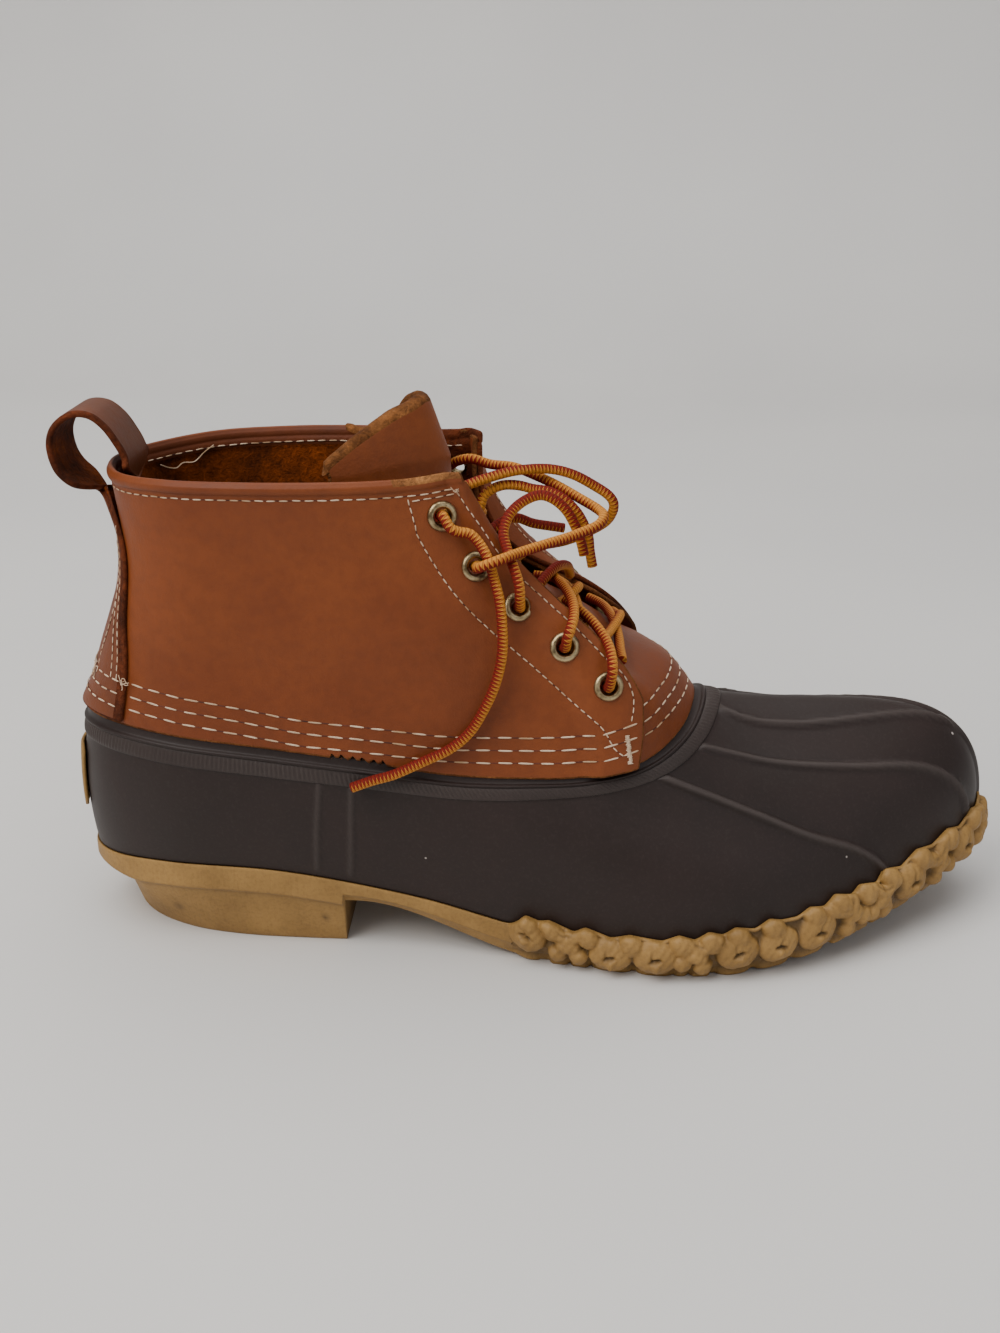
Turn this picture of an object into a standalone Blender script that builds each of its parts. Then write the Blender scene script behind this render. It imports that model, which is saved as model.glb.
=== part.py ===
"""Ankle-high duck boot, right foot: rubber lower, leather quarters, tongue, lace and pull loop."""
import math
from collections import namedtuple

import bpy
import numpy as np

for leftover in list(bpy.data.objects):
    bpy.data.objects.remove(leftover, do_unlink=True)

# Driving sizes in metres. X runs to the toe, Y to the inner side of the foot, Z up.
BOOT_LENGTH = 0.309
BACK_REACH = 0.058
BALL_WIDTH = 0.102
EDGE_HEIGHT = 0.030
JOINT_HEIGHT = 0.075
SHAFT_HEIGHT = 0.160
PIECE_GAP = 0.0003
FACET_ROOM = 0.0003

RUBBER_WALL = 0.0022
FLANGE_WALL = 0.0014
FLANGE_HEIGHT = 0.009
BAND_DEPTH = 0.0105
BAND_RAISE = 0.0007
BEAD_DROP = 0.0038
BEAD_RAISE = 0.0010
EDGE_SOFT = 0.0005
RIDGE_RAISE = 0.0012
RIDGE_WIDTH = 0.0032

LEATHER = 0.0018
LEATHER_PROUD = 0.0011
VAMP_LEATHER = 0.0016
COLLAR_ROLL = 0.0030
COLLAR_BULGE = 0.0007
THROAT_ROOM = 0.0056
TONGUE_TIP = 0.0665
TONGUE_DEPTH = 0.033
TONGUE_HALF = 0.028
TONGUE_RISE = 0.0175
TONGUE_LEAN = 0.35

HEEL_FRONT = 0.033
HEEL_HEIGHT = 0.017
ARCH_FALL = 0.068
TOE_SPRING = 0.019
SPRING_START = 0.158
BAND_LEDGE = 0.0008
LUG_PITCH = 0.0150
LUG_REACH = 0.0026
LUG_SWELL = 0.0014
LUG_RISE = 0.0042
LUG_START = 4.75
LUG_STATIONS = 4
TREAD_DEPTH = 0.0022
BAND_THICK = 0.0090
BLOCK_STEP = 0.0018
BLOCK_BACK_STEP = 0.0062
BLOCK_INSET = 0.0050
BLOCK_BACK_INSET = 0.0125
SOLE_STEP = 0.0006
LUG_FOOT_INSET = 0.0040
ARCH_FOOT_INSET = 0.0025
FOOT_BEVEL = 0.0012
CREASE_DROP = 0.0006

STRAP_WIDTH = 0.021
STRAP_THICK = 0.0021
LOOP_OUT = 0.018
LOOP_RISE = 0.018
TAB_WIDTH = 0.026
TAB_THICK = 0.0012
EYELET_RADIUS = 0.0046
EYELET_HOLE = 0.0024
EYELET_WALL = 0.0004
EYELET_THICK = 0.0009
LACE_DIAMETER = 0.0038
LACE_STEP = 2.3

INSOLE_THICK = 0.0040
INSOLE_EASE = 0.0021
INSOLE_LIFT = 0.0005

Place = namedtuple("Place", "along lateral medial high")
Side = namedtuple("Side", "low_reach low_rise top_reach top_rise belly")

# Each table has a row per station from the back (0) round either side to the front (10).
# along is a share of BOOT_LENGTH, lateral and medial shares of BALL_WIDTH.
# high is a share of EDGE_HEIGHT, JOINT_HEIGHT or SHAFT_HEIGHT.
SOLE_EDGE = (
    Place(0.000, 0.000, 0.000, 0.817),
    Place(0.032, 0.216, 0.216, 0.917),
    Place(0.110, 0.333, 0.333, 1.000),
    Place(0.236, 0.353, 0.338, 0.950),
    Place(0.375, 0.363, 0.304, 0.700),
    Place(0.511, 0.412, 0.382, 0.400),
    Place(0.647, 0.471, 0.490, 0.367),
    Place(0.773, 0.397, 0.534, 0.500),
    Place(0.885, 0.196, 0.480, 0.740),
    Place(0.966, -0.010, 0.363, 0.930),
    Place(0.998, -0.186, 0.186, 1.030),
)
LEATHER_EDGE = (
    Place(0.005, 0.000, 0.000, 1.000),
    Place(0.039, 0.216, 0.216, 1.033),
    Place(0.123, 0.343, 0.343, 1.027),
    Place(0.227, 0.373, 0.363, 0.993),
    Place(0.324, 0.382, 0.363, 0.947),
    Place(0.408, 0.387, 0.377, 0.900),
    Place(0.485, 0.382, 0.382, 0.887),
    Place(0.550, 0.368, 0.392, 0.893),
    Place(0.608, 0.324, 0.363, 0.940),
    Place(0.649, 0.167, 0.216, 1.007),
    Place(0.665, -0.039, 0.039, 1.067),
)
COLLAR_EDGE = (
    Place(0.055, 0.000, 0.000, 0.984),
    Place(0.078, 0.196, 0.196, 0.984),
    Place(0.139, 0.330, 0.335, 0.992),
    Place(0.214, 0.373, 0.387, 0.996),
    Place(0.278, 0.378, 0.395, 0.998),
    Place(0.333, 0.360, 0.380, 0.999),
    Place(0.375, 0.324, 0.333, 1.000),
    Place(0.408, 0.284, 0.294, 1.006),
    Place(0.424, 0.235, 0.245, 1.009),
    Place(0.434, 0.118, 0.127, 1.009),
    Place(0.437, 0.000, 0.000, 1.009),
)
# Reach and rise place the two handles of each side curve, as shares of its way in plan and of its
# height. belly pushes both handles outwards, as a share of BALL_WIDTH.
RUBBER_SIDE = (
    Side(0.33, 0.33, 0.67, 0.67, 0.030),
    Side(0.33, 0.33, 0.67, 0.67, 0.034),
    Side(0.33, 0.33, 0.67, 0.67, 0.040),
    Side(0.33, 0.33, 0.67, 0.67, 0.040),
    Side(0.20, 0.36, 0.67, 0.67, 0.040),
    Side(0.10, 0.38, 0.60, 0.64, 0.042),
    Side(0.05, 0.40, 0.58, 0.62, 0.042),
    Side(0.10, 0.44, 0.50, 0.52, 0.040),
    Side(0.16, 0.54, 0.46, 0.44, 0.034),
    Side(-0.04, 1.04, 0.66, 0.50, 0.010),
    Side(-0.01, 1.17, 0.58, 0.77, 0.000),
)
LEATHER_SIDE = (
    Side(0.55, 0.33, 1.39, 0.67, 0.000),
    Side(0.52, 0.33, 1.25, 0.67, 0.000),
    Side(0.40, 0.33, 0.90, 0.67, -0.018),
    Side(0.33, 0.33, 0.67, 0.67, -0.024),
    Side(0.33, 0.33, 0.67, 0.67, -0.024),
    Side(0.25, 0.33, 0.70, 0.67, -0.020),
    Side(0.15, 0.36, 0.74, 0.64, -0.016),
    Side(0.02, 0.45, 0.80, 0.58, -0.024),
    Side(-0.12, 0.57, 0.88, 0.50, -0.060),
    Side(0.20, 0.48, 0.80, 0.43, -0.024),
    Side(0.33, 0.42, 0.76, 0.37, 0.000),
)
# The medial flap lies lower than the lateral one, so its two rows have handles of their own.
MEDIAL_FLAP = {
    8: Side(-0.18, 0.59, 1.05, 0.31, -0.120),
    9: Side(0.16, 0.49, 0.88, 0.37, -0.030),
}
STATIONS = len(SOLE_EDGE) - 1
QUARTER_FRONT = 8.0
FLAP_BULGE = 0.3
VAMP_WING = 7.35

CURVE_SAMPLES = 49
SLOPE_STEP = 0.01


def round_loop(rows, height):
    """All rows of a table once round the boot: out along the lateral side, back on the medial."""
    points = []
    for row in rows:
        points.append((row.along, -row.lateral, row.high))
    for row in rows[-2:0:-1]:
        points.append((row.along, row.medial, row.high))
    size = np.array([BOOT_LENGTH, BALL_WIDTH, height])
    return np.array(points) * size - np.array([BACK_REACH, 0.0, 0.0])


def side_loop(rows, medial=None):
    """All handle rows once round, with some rows of their own on the medial side."""
    medial = medial or {}
    lateral = [tuple(row) for row in rows]
    back = [tuple(medial.get(index, rows[index])) for index in range(len(rows) - 2, 0, -1)]
    return np.array(lateral + back)


def smooth(values, station):
    """A closed smooth curve through the rows, read at any station."""
    station = np.asarray(station, dtype=float)
    count = len(values)
    base = np.floor(station).astype(int)
    part = (station - base)[..., None]
    before, here = values[(base - 1) % count], values[base % count]
    after, later = values[(base + 1) % count], values[(base + 2) % count]
    return 0.5 * (2 * here + (after - before) * part
                  + (2 * before - 5 * here + 4 * after - later) * part ** 2
                  + (3 * here - before - 3 * after + later) * part ** 3)


EDGE_LOOP = round_loop(SOLE_EDGE, EDGE_HEIGHT)
JOINT_LOOP = round_loop(LEATHER_EDGE, JOINT_HEIGHT)
COLLAR_LOOP = round_loop(COLLAR_EDGE, SHAFT_HEIGHT)
RUBBER = (EDGE_LOOP, JOINT_LOOP, side_loop(RUBBER_SIDE))
SHAFT = (JOINT_LOOP, COLLAR_LOOP, side_loop(LEATHER_SIDE, MEDIAL_FLAP))


def outward(loop, station):
    ahead = smooth(loop, np.asarray(station) + SLOPE_STEP) - smooth(loop, np.asarray(station) - SLOPE_STEP)
    normal = np.stack([ahead[..., 1], -ahead[..., 0], np.zeros_like(ahead[..., 0])], axis=-1)
    return normal / np.linalg.norm(normal, axis=-1, keepdims=True)


def side_curve(form, station):
    """Points up the side of the boot at each station, densely."""
    low_loop, top_loop, handles = form
    low, top = smooth(low_loop, station), smooth(top_loop, station)
    hand = smooth(handles, station)
    way = (top - low) * np.array([1.0, 1.0, 0.0])
    rise = (top - low) * np.array([0.0, 0.0, 1.0])
    belly = outward(low_loop, station) * hand[..., 4:5] * BALL_WIDTH
    first = low + way * hand[..., 0:1] + rise * hand[..., 1:2] + belly
    second = low + way * hand[..., 2:3] + rise * hand[..., 3:4] + belly
    t = np.linspace(0.0, 1.0, CURVE_SAMPLES)[:, None, None]
    return (low * (1 - t) ** 3 + first * 3 * t * (1 - t) ** 2
            + second * 3 * t ** 2 * (1 - t) + top * t ** 3)


def side_length(form, station):
    curve = side_curve(form, station)
    return np.linalg.norm(np.diff(curve, axis=0), axis=-1).sum(axis=0)


def on_side(form, station, share):
    """The point at a share of the way up the side, at each station."""
    station = np.atleast_1d(np.asarray(station, dtype=float))
    share = np.broadcast_to(share, station.shape)
    curve = side_curve(form, station)
    steps = np.linalg.norm(np.diff(curve, axis=0), axis=-1)
    run = np.vstack([np.zeros(len(station)), np.cumsum(steps, axis=0)])
    out = np.empty((len(station), 3))
    for index in range(len(station)):
        way = run[:, index] / run[-1, index]
        for axis in range(3):
            out[index, axis] = np.interp(share[index], way, curve[:, index, axis])
    return out


def skin(form, station, share, off):
    """A point of the boot's surface, set out or in along its normal."""
    station = np.atleast_1d(np.asarray(station, dtype=float))
    share = np.broadcast_to(share, station.shape)
    off = np.broadcast_to(off, station.shape)
    place = on_side(form, station, share)
    across = on_side(form, station + SLOPE_STEP, share) - on_side(form, station - SLOPE_STEP, share)
    up = (on_side(form, station, np.minimum(share + SLOPE_STEP, 1.0))
          - on_side(form, station, np.maximum(share - SLOPE_STEP, 0.0)))
    normal = np.cross(across, up)
    normal /= np.linalg.norm(normal, axis=-1, keepdims=True)
    return place + normal * off[:, None]


def ease(value, start, end):
    """0 before start, 1 after end, smooth between."""
    part = np.clip((np.asarray(value, dtype=float) - start) / (end - start), 0.0, 1.0)
    return part * part * (3 - 2 * part)


def front_distance(station):
    """Stations counted from the back on either side, 0 to STATIONS."""
    turn = np.mod(np.asarray(station, dtype=float), 2 * STATIONS)
    return np.minimum(turn, 2 * STATIONS - turn)


# Mesh helpers
def finish(obj, rgb, rough, metal=0.0, flat=False):
    mat = bpy.data.materials.new(obj.name + "_finish")
    mat.use_nodes = True
    shader = mat.node_tree.nodes["Principled BSDF"]
    shader.inputs["Base Color"].default_value = (*rgb, 1.0)
    shader.inputs["Roughness"].default_value = rough
    shader.inputs["Metallic"].default_value = metal
    obj.data.materials.append(mat)
    if not flat:
        for face in obj.data.polygons:
            face.use_smooth = True


def add_mesh(name, points, faces):
    """One closed body from points and faces, with equal points made one."""
    keys, remap, kept = {}, [], []
    for point in points:
        key = tuple(int(round(value * 1e7)) for value in point)
        if key not in keys:
            keys[key] = len(kept)
            kept.append(tuple(point))
        remap.append(keys[key])
    clean = []
    for face in faces:
        ring = []
        for corner in (remap[index] for index in face):
            if corner not in ring:
                ring.append(corner)
        if len(ring) > 2:
            clean.append(ring)
    mesh = bpy.data.meshes.new(name)
    mesh.from_pydata(kept, [], clean)
    mesh.update()
    obj = bpy.data.objects.new(name, mesh)
    bpy.context.collection.objects.link(obj)
    return obj


def grid_faces(rows, columns, closed_rows, closed_columns, start=0):
    faces = []
    for row in range(rows if closed_rows else rows - 1):
        for column in range(columns if closed_columns else columns - 1):
            here = start + row * columns + column
            right = start + row * columns + (column + 1) % columns
            up = start + (row + 1) % rows * columns + column
            across = start + (row + 1) % rows * columns + (column + 1) % columns
            faces.append((here, right, across, up))
    return faces


def ring_body(name, rings):
    """A closed band: each ring goes once round the boot, the last joins the first."""
    rings = np.array(rings)
    rows, columns = rings.shape[:2]
    return add_mesh(name, rings.reshape(-1, 3), grid_faces(rows, columns, True, True))


def strip_body(name, rings):
    """A closed sheet: rings go up the outside and down the inside, both ends are closed."""
    rings = np.array(rings)
    rows, columns = rings.shape[:2]
    faces = grid_faces(rows, columns, True, False)
    half = rows // 2
    for end, turn in ((0, 1), (columns - 1, -1)):
        for row in range(half - 1):
            ring = [row * columns + end, (row + 1) * columns + end,
                    (rows - 2 - row) * columns + end, (rows - 1 - row) * columns + end]
            faces.append(ring[::turn])
    return add_mesh(name, rings.reshape(-1, 3), faces)


# Rubber lower
RIDGE_STATIONS = (7.9, 9.0, 10.0, 11.0, 12.1)
RIDGE_TOP = 0.35


def rubber_stations():
    """Stations round the boot, with close ones at the toe ridges, and which are on a ridge's top."""
    half = (0.0, 0.35, 0.7, 1.05, 1.5, 2.0, 2.6, 3.2, 3.8, 4.4, 5.0, 5.5, 6.0, 6.4, 6.8, 7.1, 7.35,
            7.65, 8.2, 8.5, 8.75, 9.3, 9.55, 9.75)
    plain = set(half) | {2 * STATIONS - value for value in half if value > 0}
    tops = set()
    for centre in RIDGE_STATIONS:
        spread = np.linalg.norm(smooth(EDGE_LOOP, centre + 0.1) - smooth(EDGE_LOOP, centre - 0.1)) / 0.2
        half_width = RIDGE_WIDTH / spread * 0.65
        for side in (-1, 1):
            plain.add(centre + side * half_width)
            tops.add(centre + side * half_width * RIDGE_TOP)
    merged = sorted(plain | tops)
    return np.array(merged), np.array([value in tops for value in merged])


def make_rubber():
    station, ridge = rubber_stations()
    length = side_length(RUBBER, station)
    flange = FLANGE_HEIGHT / side_length(SHAFT, station)
    band = 1 - BAND_DEPTH / length
    raise_ridge = np.where(ridge, RIDGE_RAISE, 0.0)
    rings = []
    for share, strength in ((0, 0), (0.1, 0.6), (0.24, 1), (0.42, 1), (0.62, 1), (0.86, 1), (1, 0.3)):
        rings.append(skin(RUBBER, station, share * band, raise_ridge * strength))
    lip = LEATHER_PROUD - LEATHER - PIECE_GAP - FACET_ROOM
    for drop, off in ((BAND_DEPTH - EDGE_SOFT, BAND_RAISE), (BEAD_DROP + EDGE_SOFT * 2.4, BAND_RAISE),
                      (BEAD_DROP + EDGE_SOFT * 1.6, BEAD_RAISE), (BEAD_DROP, BEAD_RAISE),
                      (BEAD_DROP - EDGE_SOFT, 0.0), (PIECE_GAP, 0.0), (PIECE_GAP, lip)):
        rings.append(skin(RUBBER, station, 1 - drop / length, off))
    rings.append(skin(SHAFT, station, flange, lip))
    rings.append(skin(SHAFT, station, flange, lip - FLANGE_WALL))
    rings.append(skin(SHAFT, station, flange * 0.1, lip - FLANGE_WALL))
    for share in (0.84, 0.56, 0.26, 0.0):
        rings.append(skin(RUBBER, station, share, -RUBBER_WALL))
    obj = ring_body("rubber_shell", rings)
    finish(obj, (0.035, 0.025, 0.026), 0.45)
    return obj


# Leather quarters, from the medial eyelet edge round the back to the lateral one
def lap_out(station):
    """How far the quarters stand out where they lap over the vamp's wings."""
    wing = ease(front_distance(station), VAMP_WING - 0.45, VAMP_WING)
    return wing * (LEATHER + PIECE_GAP + FACET_ROOM * 3)


def flap(station, share):
    """The quarters' front edge bulges forward near the rubber."""
    reach = FLAP_BULGE * (1 - ease(share, 0.08, 0.34)) * ease(np.abs(station), VAMP_WING, QUARTER_FRONT)
    return station + np.sign(station) * reach


def make_quarters():
    half = [0.0, 0.35, 0.7, 1.05, 1.5, 2.0, 2.6, 3.2, 3.8, 4.4, 5.0, 5.5, 6.0, 6.4, 6.8, 7.1, 7.35, 7.65,
            QUARTER_FRONT]
    station = np.array([-value for value in half[:0:-1]] + half)
    roll = 1 - COLLAR_ROLL / side_length(SHAFT, station)
    outer = LEATHER_PROUD + lap_out(station)
    inner = outer - LEATHER
    levels = (0.0, 0.1, 0.22, 0.36, 0.52, 0.68, 0.85)
    rings = []
    for share in levels:
        rings.append(skin(SHAFT, flap(station, share), share * roll, outer))
    rings.append(skin(SHAFT, station, roll, outer))
    rings.append(skin(SHAFT, station, 1 - (1 - roll) * 0.75, outer + COLLAR_BULGE))
    rings.append(skin(SHAFT, station, 1 - (1 - roll) * 0.2, outer + COLLAR_BULGE * 0.6))
    rings.append(skin(SHAFT, station, 1.0, outer - LEATHER * 0.5 + COLLAR_BULGE))
    rings.append(skin(SHAFT, station, 1.0, inner + LEATHER * 0.5 - COLLAR_BULGE))
    rings.append(skin(SHAFT, station, 1 - (1 - roll) * 0.2, inner - COLLAR_BULGE * 0.6))
    rings.append(skin(SHAFT, station, 1 - (1 - roll) * 0.75, inner - COLLAR_BULGE))
    rings.append(skin(SHAFT, station, roll, inner))
    for share in levels[::-1]:
        rings.append(skin(SHAFT, flap(station, share), share * roll, inner))
    obj = strip_body("leather_upper", rings)
    finish(obj, (0.24, 0.065, 0.022), 0.5)
    return obj


# Vamp and tongue, one piece of leather under the quarters
VAMP_SPREAD = 2.65
TONGUE_SPREAD = 5.0
TONGUE_POINT = 1.7
TONGUE_FALL = 0.9
TONGUE_TURN = math.radians(75)
TONGUE_LEVELS = (0.0, 0.08, 0.16, 0.25, 0.35, 0.46, 0.54, 0.6, 0.65, 0.7, 0.76, 0.84, 0.92, 1.0)
TONGUE_TIPS = (0.35, 0.7, 1.0)
TONGUE_COLUMNS = 17


def tongue_plan(part):
    """The tongue's top end seen from above, a pointed U."""
    aside = TONGUE_HALF * math.sin(part * TONGUE_TURN) / math.sin(TONGUE_TURN)
    return np.array([TONGUE_TIP - TONGUE_DEPTH * abs(aside / TONGUE_HALF) ** TONGUE_POINT, aside, 0.0])


def tongue_spread(share):
    """How many stations the leather reaches to either side at a share of the way up."""
    return VAMP_SPREAD + ease(share, 0.3, 1.0) * (TONGUE_SPREAD - VAMP_SPREAD)


def tongue_point(share, part, off):
    """A point on the leather: part runs from -1 at the lateral edge to 1 at the medial one."""
    room = ease(share, 0.1, 0.28) * THROAT_ROOM
    fold = ease(share, 0.45, 1.0)
    place = skin(SHAFT, [STATIONS + part * tongue_spread(share)], share, off - room)[0]
    way = tongue_plan(part + SLOPE_STEP) - tongue_plan(part - SLOPE_STEP)
    aim = tongue_plan(part) + np.array([way[1], -way[0], 0.0]) / np.linalg.norm(way) * off
    aim[2] = place[2]
    return place * (1 - fold) + aim * fold


def tongue_row(share, off):
    return np.array([tongue_point(share, part, off) for part in np.linspace(-1.0, 1.0, TONGUE_COLUMNS)])


def make_tongue():
    part = np.linspace(-1.0, 1.0, TONGUE_COLUMNS)[:, None]
    # The top end falls away sooner on the medial side.
    fall = np.where(part < 0, ease(-part, 0.35, 1.0), ease(part, 0.12, 0.95))
    outer_rows = [tongue_row(share, LEATHER_PROUD) for share in TONGUE_LEVELS]
    inner_rows = [tongue_row(share, LEATHER_PROUD - VAMP_LEATHER) for share in TONGUE_LEVELS]
    lean = np.array([-TONGUE_LEAN, 0.0, 1.0])
    for step in TONGUE_TIPS:
        rise = lean * TONGUE_RISE * step * (1 - TONGUE_FALL * fall)
        outer_rows.append(outer_rows[len(TONGUE_LEVELS) - 1] + rise)
        inner_rows.append(inner_rows[len(TONGUE_LEVELS) - 1] + rise)
    obj = strip_body("vamp_tongue", outer_rows + inner_rows[::-1])
    finish(obj, (0.24, 0.065, 0.022), 0.5)
    return obj


# Outsole
BREAST_STEP = 0.02


def underside(along):
    """Height of the sole's bottom over the floor at each place along the boot."""
    arch = HEEL_HEIGHT * (1 - ease(along, HEEL_FRONT + 0.004, HEEL_FRONT + ARCH_FALL))
    spring = TOE_SPRING * np.clip((along - SPRING_START) / (BOOT_LENGTH - BACK_REACH - SPRING_START),
                                  0.0, None) ** 1.5
    return np.where(along <= HEEL_FRONT, 0.0, arch) + spring


def sole_stations():
    """Stations of one side, and how far each is up its lug: 0 in a valley, 1 on a top."""
    heel = [0.0, 0.3, 0.6, 0.9, 1.25, 1.7, 2.2, 2.8]
    span = np.linspace(3.0, 4.0, 101)
    breast = float(np.interp(HEEL_FRONT, smooth(EDGE_LOOP, span)[:, 0], span))
    waist = [breast, breast + BREAST_STEP, 3.85, 4.3]
    fine = np.linspace(LUG_START, STATIONS, 400)
    steps = np.linalg.norm(np.diff(smooth(EDGE_LOOP, fine), axis=0), axis=1)
    run = np.concatenate([[0.0], np.cumsum(steps)])
    lugs = int(round(run[-1] / LUG_PITCH))
    count = LUG_STATIONS * lugs + 1
    marks = np.interp(np.linspace(0.0, run[-1], count), run, fine)
    swell = 0.5 - 0.5 * np.cos(np.arange(count) * 2 * math.pi / LUG_STATIONS)
    plain = len(heel) + len(waist)
    return np.array(heel + waist + list(marks)), np.array([0.0] * plain + list(swell)), len(heel)


def make_outsole():
    half, swell_half, breast = sole_stations()
    tip = len(half) - 1
    station = np.concatenate([half, 2 * STATIONS - half[-2:0:-1]])
    swell = np.concatenate([swell_half, swell_half[-2:0:-1]])
    lug = ease(front_distance(station), LUG_START - 0.05, LUG_START + 0.5)
    heel = (front_distance(station) <= half[breast] + 1e-6).astype(float)
    edge = smooth(EDGE_LOOP, station)
    out = outward(EDGE_LOOP, station)
    floor = underside(edge[:, 0]) * (1 - heel)
    length = side_length(RUBBER, station)
    rise = lug * (LUG_RISE + (swell - 0.5) * LUG_SWELL * 1.5)
    reach = BAND_LEDGE + lug * (LUG_REACH - BAND_LEDGE + swell * LUG_SWELL)
    deep = edge[:, 2] - floor
    back = 1 - ease(edge[:, 0], -BACK_REACH, -BACK_REACH * 0.6)
    band = np.where(lug > 0.5, deep * 0.45, np.minimum(BAND_THICK * (1 - 0.4 * back), deep * 0.55))
    block_in = BLOCK_INSET + (BLOCK_BACK_INSET - BLOCK_INSET) * (1 - ease(edge[:, 0], -BACK_REACH, 0.012))
    step_in = heel * (BLOCK_STEP + BLOCK_BACK_STEP * back) + (1 - heel) * SOLE_STEP
    foot_in = np.where(lug > 0.5, LUG_FOOT_INSET, heel * block_in + (1 - heel) * ARCH_FOOT_INSET)

    def level(off, height):
        ring = edge + out * np.broadcast_to(off, len(edge))[:, None]
        ring[:, 2] = height
        return ring

    foot = reach * (1 - heel) - foot_in
    rings = [level(foot - BAND_LEDGE, floor),
             level(np.where(lug > 0.5, reach * 0.62, foot), floor + FOOT_BEVEL * (1 + 1.7 * lug)),
             level(np.where(lug > 0.5, reach * 0.95, reach - step_in), edge[:, 2] - band - CREASE_DROP),
             level(reach * (1 + 0.12 * lug), edge[:, 2] - band),
             level(reach, edge[:, 2] + rise * 0.15 - (1 - lug) * BAND_LEDGE),
             skin(RUBBER, station, rise / length, reach * 0.7),
             skin(RUBBER, station, rise / length, PIECE_GAP + FACET_ROOM),
             level(PIECE_GAP + FACET_ROOM, edge[:, 2] - PIECE_GAP),
             level(-RUBBER_WALL, edge[:, 2] - PIECE_GAP)]
    rows, columns = len(rings), len(station)
    points = list(np.array(rings).reshape(-1, 3))
    faces = grid_faces(rows, columns, False, True)

    def fill(row, depths, turn):
        """Close one ring straight across from side to side, each column at its own depth."""
        start, previous = row * columns, None
        for index in range(1, tip):
            left, right = points[start + index], points[start + columns - index]
            line = [start + index]
            for part, sink in depths:
                points.append(left * (1 - part) + right * part + np.array([0.0, 0.0, sink[index]]))
                line.append(len(points) - 1)
            line.append(start + columns - index)
            for place in range(len(line) - 1):
                if previous is None:
                    faces.append([start, line[place], line[place + 1]][::turn])
                else:
                    faces.append([previous[place], line[place], line[place + 1], previous[place + 1]][::turn])
            previous = line
        for place in range(len(previous) - 1):
            faces.append([previous[place], start + tip, previous[place + 1]][::turn])

    flat, groove = np.zeros(len(half)), np.zeros(len(half))
    for index in range(breast + 5, tip - 3):
        groove[index] = TREAD_DEPTH if index % LUG_STATIONS in (1, 2) else 0.0
    fill(0, [(0.10, flat), (0.15, groove), (0.5, groove), (0.85, groove), (0.90, flat)], -1)
    fill(rows - 1, [(0.5, flat)], 1)
    obj = add_mesh("outsole", points, faces)
    finish(obj, (0.38, 0.22, 0.06), 0.6)
    return obj


def make_insole():
    half = np.array([0.0, 0.3, 0.6, 0.9, 1.3, 1.8, 2.4, 3.0, 3.6, 4.2, 4.8, 5.4, 6.0, 6.5, 7.0, 7.5, 8.0,
                     8.4, 8.8, 9.2, 9.6, 10.0])
    station = np.concatenate([half, 2 * STATIONS - half[-2:0:-1]])
    edge = smooth(EDGE_LOOP, station)
    out = outward(EDGE_LOOP, station)
    base = edge - out * (RUBBER_WALL + INSOLE_EASE)
    bed = smooth(EDGE_LOOP, np.linspace(0.0, STATIONS, 101))
    base[:, 2] = np.interp(base[:, 0], bed[:, 0], bed[:, 2])
    low = base + np.array([0.0, 0.0, INSOLE_LIFT])
    top = low + np.array([0.0, 0.0, INSOLE_THICK])
    columns = len(station)
    points = list(low) + list(top)
    faces = grid_faces(2, columns, False, True)
    tip = len(half) - 1
    for row, turn in ((0, -1), (1, 1)):
        start = row * columns
        faces.append([start, start + 1, start + columns - 1][::turn])
        for index in range(1, tip):
            here, there = start + index, start + columns - index
            if index + 1 < tip:
                faces.append([here, here + 1, there - 1, there][::turn])
        faces.append([start + tip - 1, start + tip, start + tip + 1][::turn])
    obj = add_mesh("insole", points, faces)
    finish(obj, (0.10, 0.075, 0.055), 0.9)
    return obj


# Eyelets: how far up the shaft, and at which station, from the collar down
Hole = namedtuple("Hole", "station share")
EYELET_REACH = 0.4
EYELETS = (
    Hole(6.51, 0.882),
    Hole(6.76, 0.712),
    Hole(7.08, 0.561),
    Hole(7.30, 0.402),
    Hole(7.56, 0.253),
)
BARREL_SIDES = 10


def eyelet_frame(hole, medial):
    """Centre on the leather's outer face, and the way out of it."""
    station = 2 * STATIONS - hole.station if medial else hole.station
    off = LEATHER_PROUD + lap_out(np.array([station]))[0]
    centre = skin(SHAFT, [station], hole.share, off)[0]
    normal = skin(SHAFT, [station], hole.share, off + 0.001)[0] - centre
    return centre, normal / np.linalg.norm(normal)


def turned(name, centre, normal, profile, closed=True):
    """A body turned round an axis from its radius and height rows."""
    first = np.cross(normal, np.array([0.0, 0.0, 1.0]))
    first /= np.linalg.norm(first)
    second = np.cross(normal, first)
    points = []
    for radius, height in profile:
        for index in range(BARREL_SIDES):
            angle = 2 * math.pi * index / BARREL_SIDES
            points.append(centre + normal * height
                          + (first * math.cos(angle) + second * math.sin(angle)) * radius)
    faces = grid_faces(len(profile), BARREL_SIDES, closed, True)
    if not closed:
        last = (len(profile) - 1) * BARREL_SIDES
        faces.append(list(range(BARREL_SIDES))[::-1])
        faces.append([last + index for index in range(BARREL_SIDES)])
    return add_mesh(name, points, faces)


def leather_swell(hole, centre, normal):
    """How far the leather rises over the eyelet's flat within its rim."""
    swell = 0.0
    for turn in np.linspace(0.0, 2 * math.pi, 12, endpoint=False):
        station = np.array([hole.station + math.cos(turn) * EYELET_REACH])
        share = hole.share + math.sin(turn) * EYELET_RADIUS / side_length(SHAFT, station)
        near = skin(SHAFT, station, share, LEATHER_PROUD + lap_out(station))[0]
        swell = max(swell, float(np.dot(near - centre, normal)))
    return swell


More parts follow.
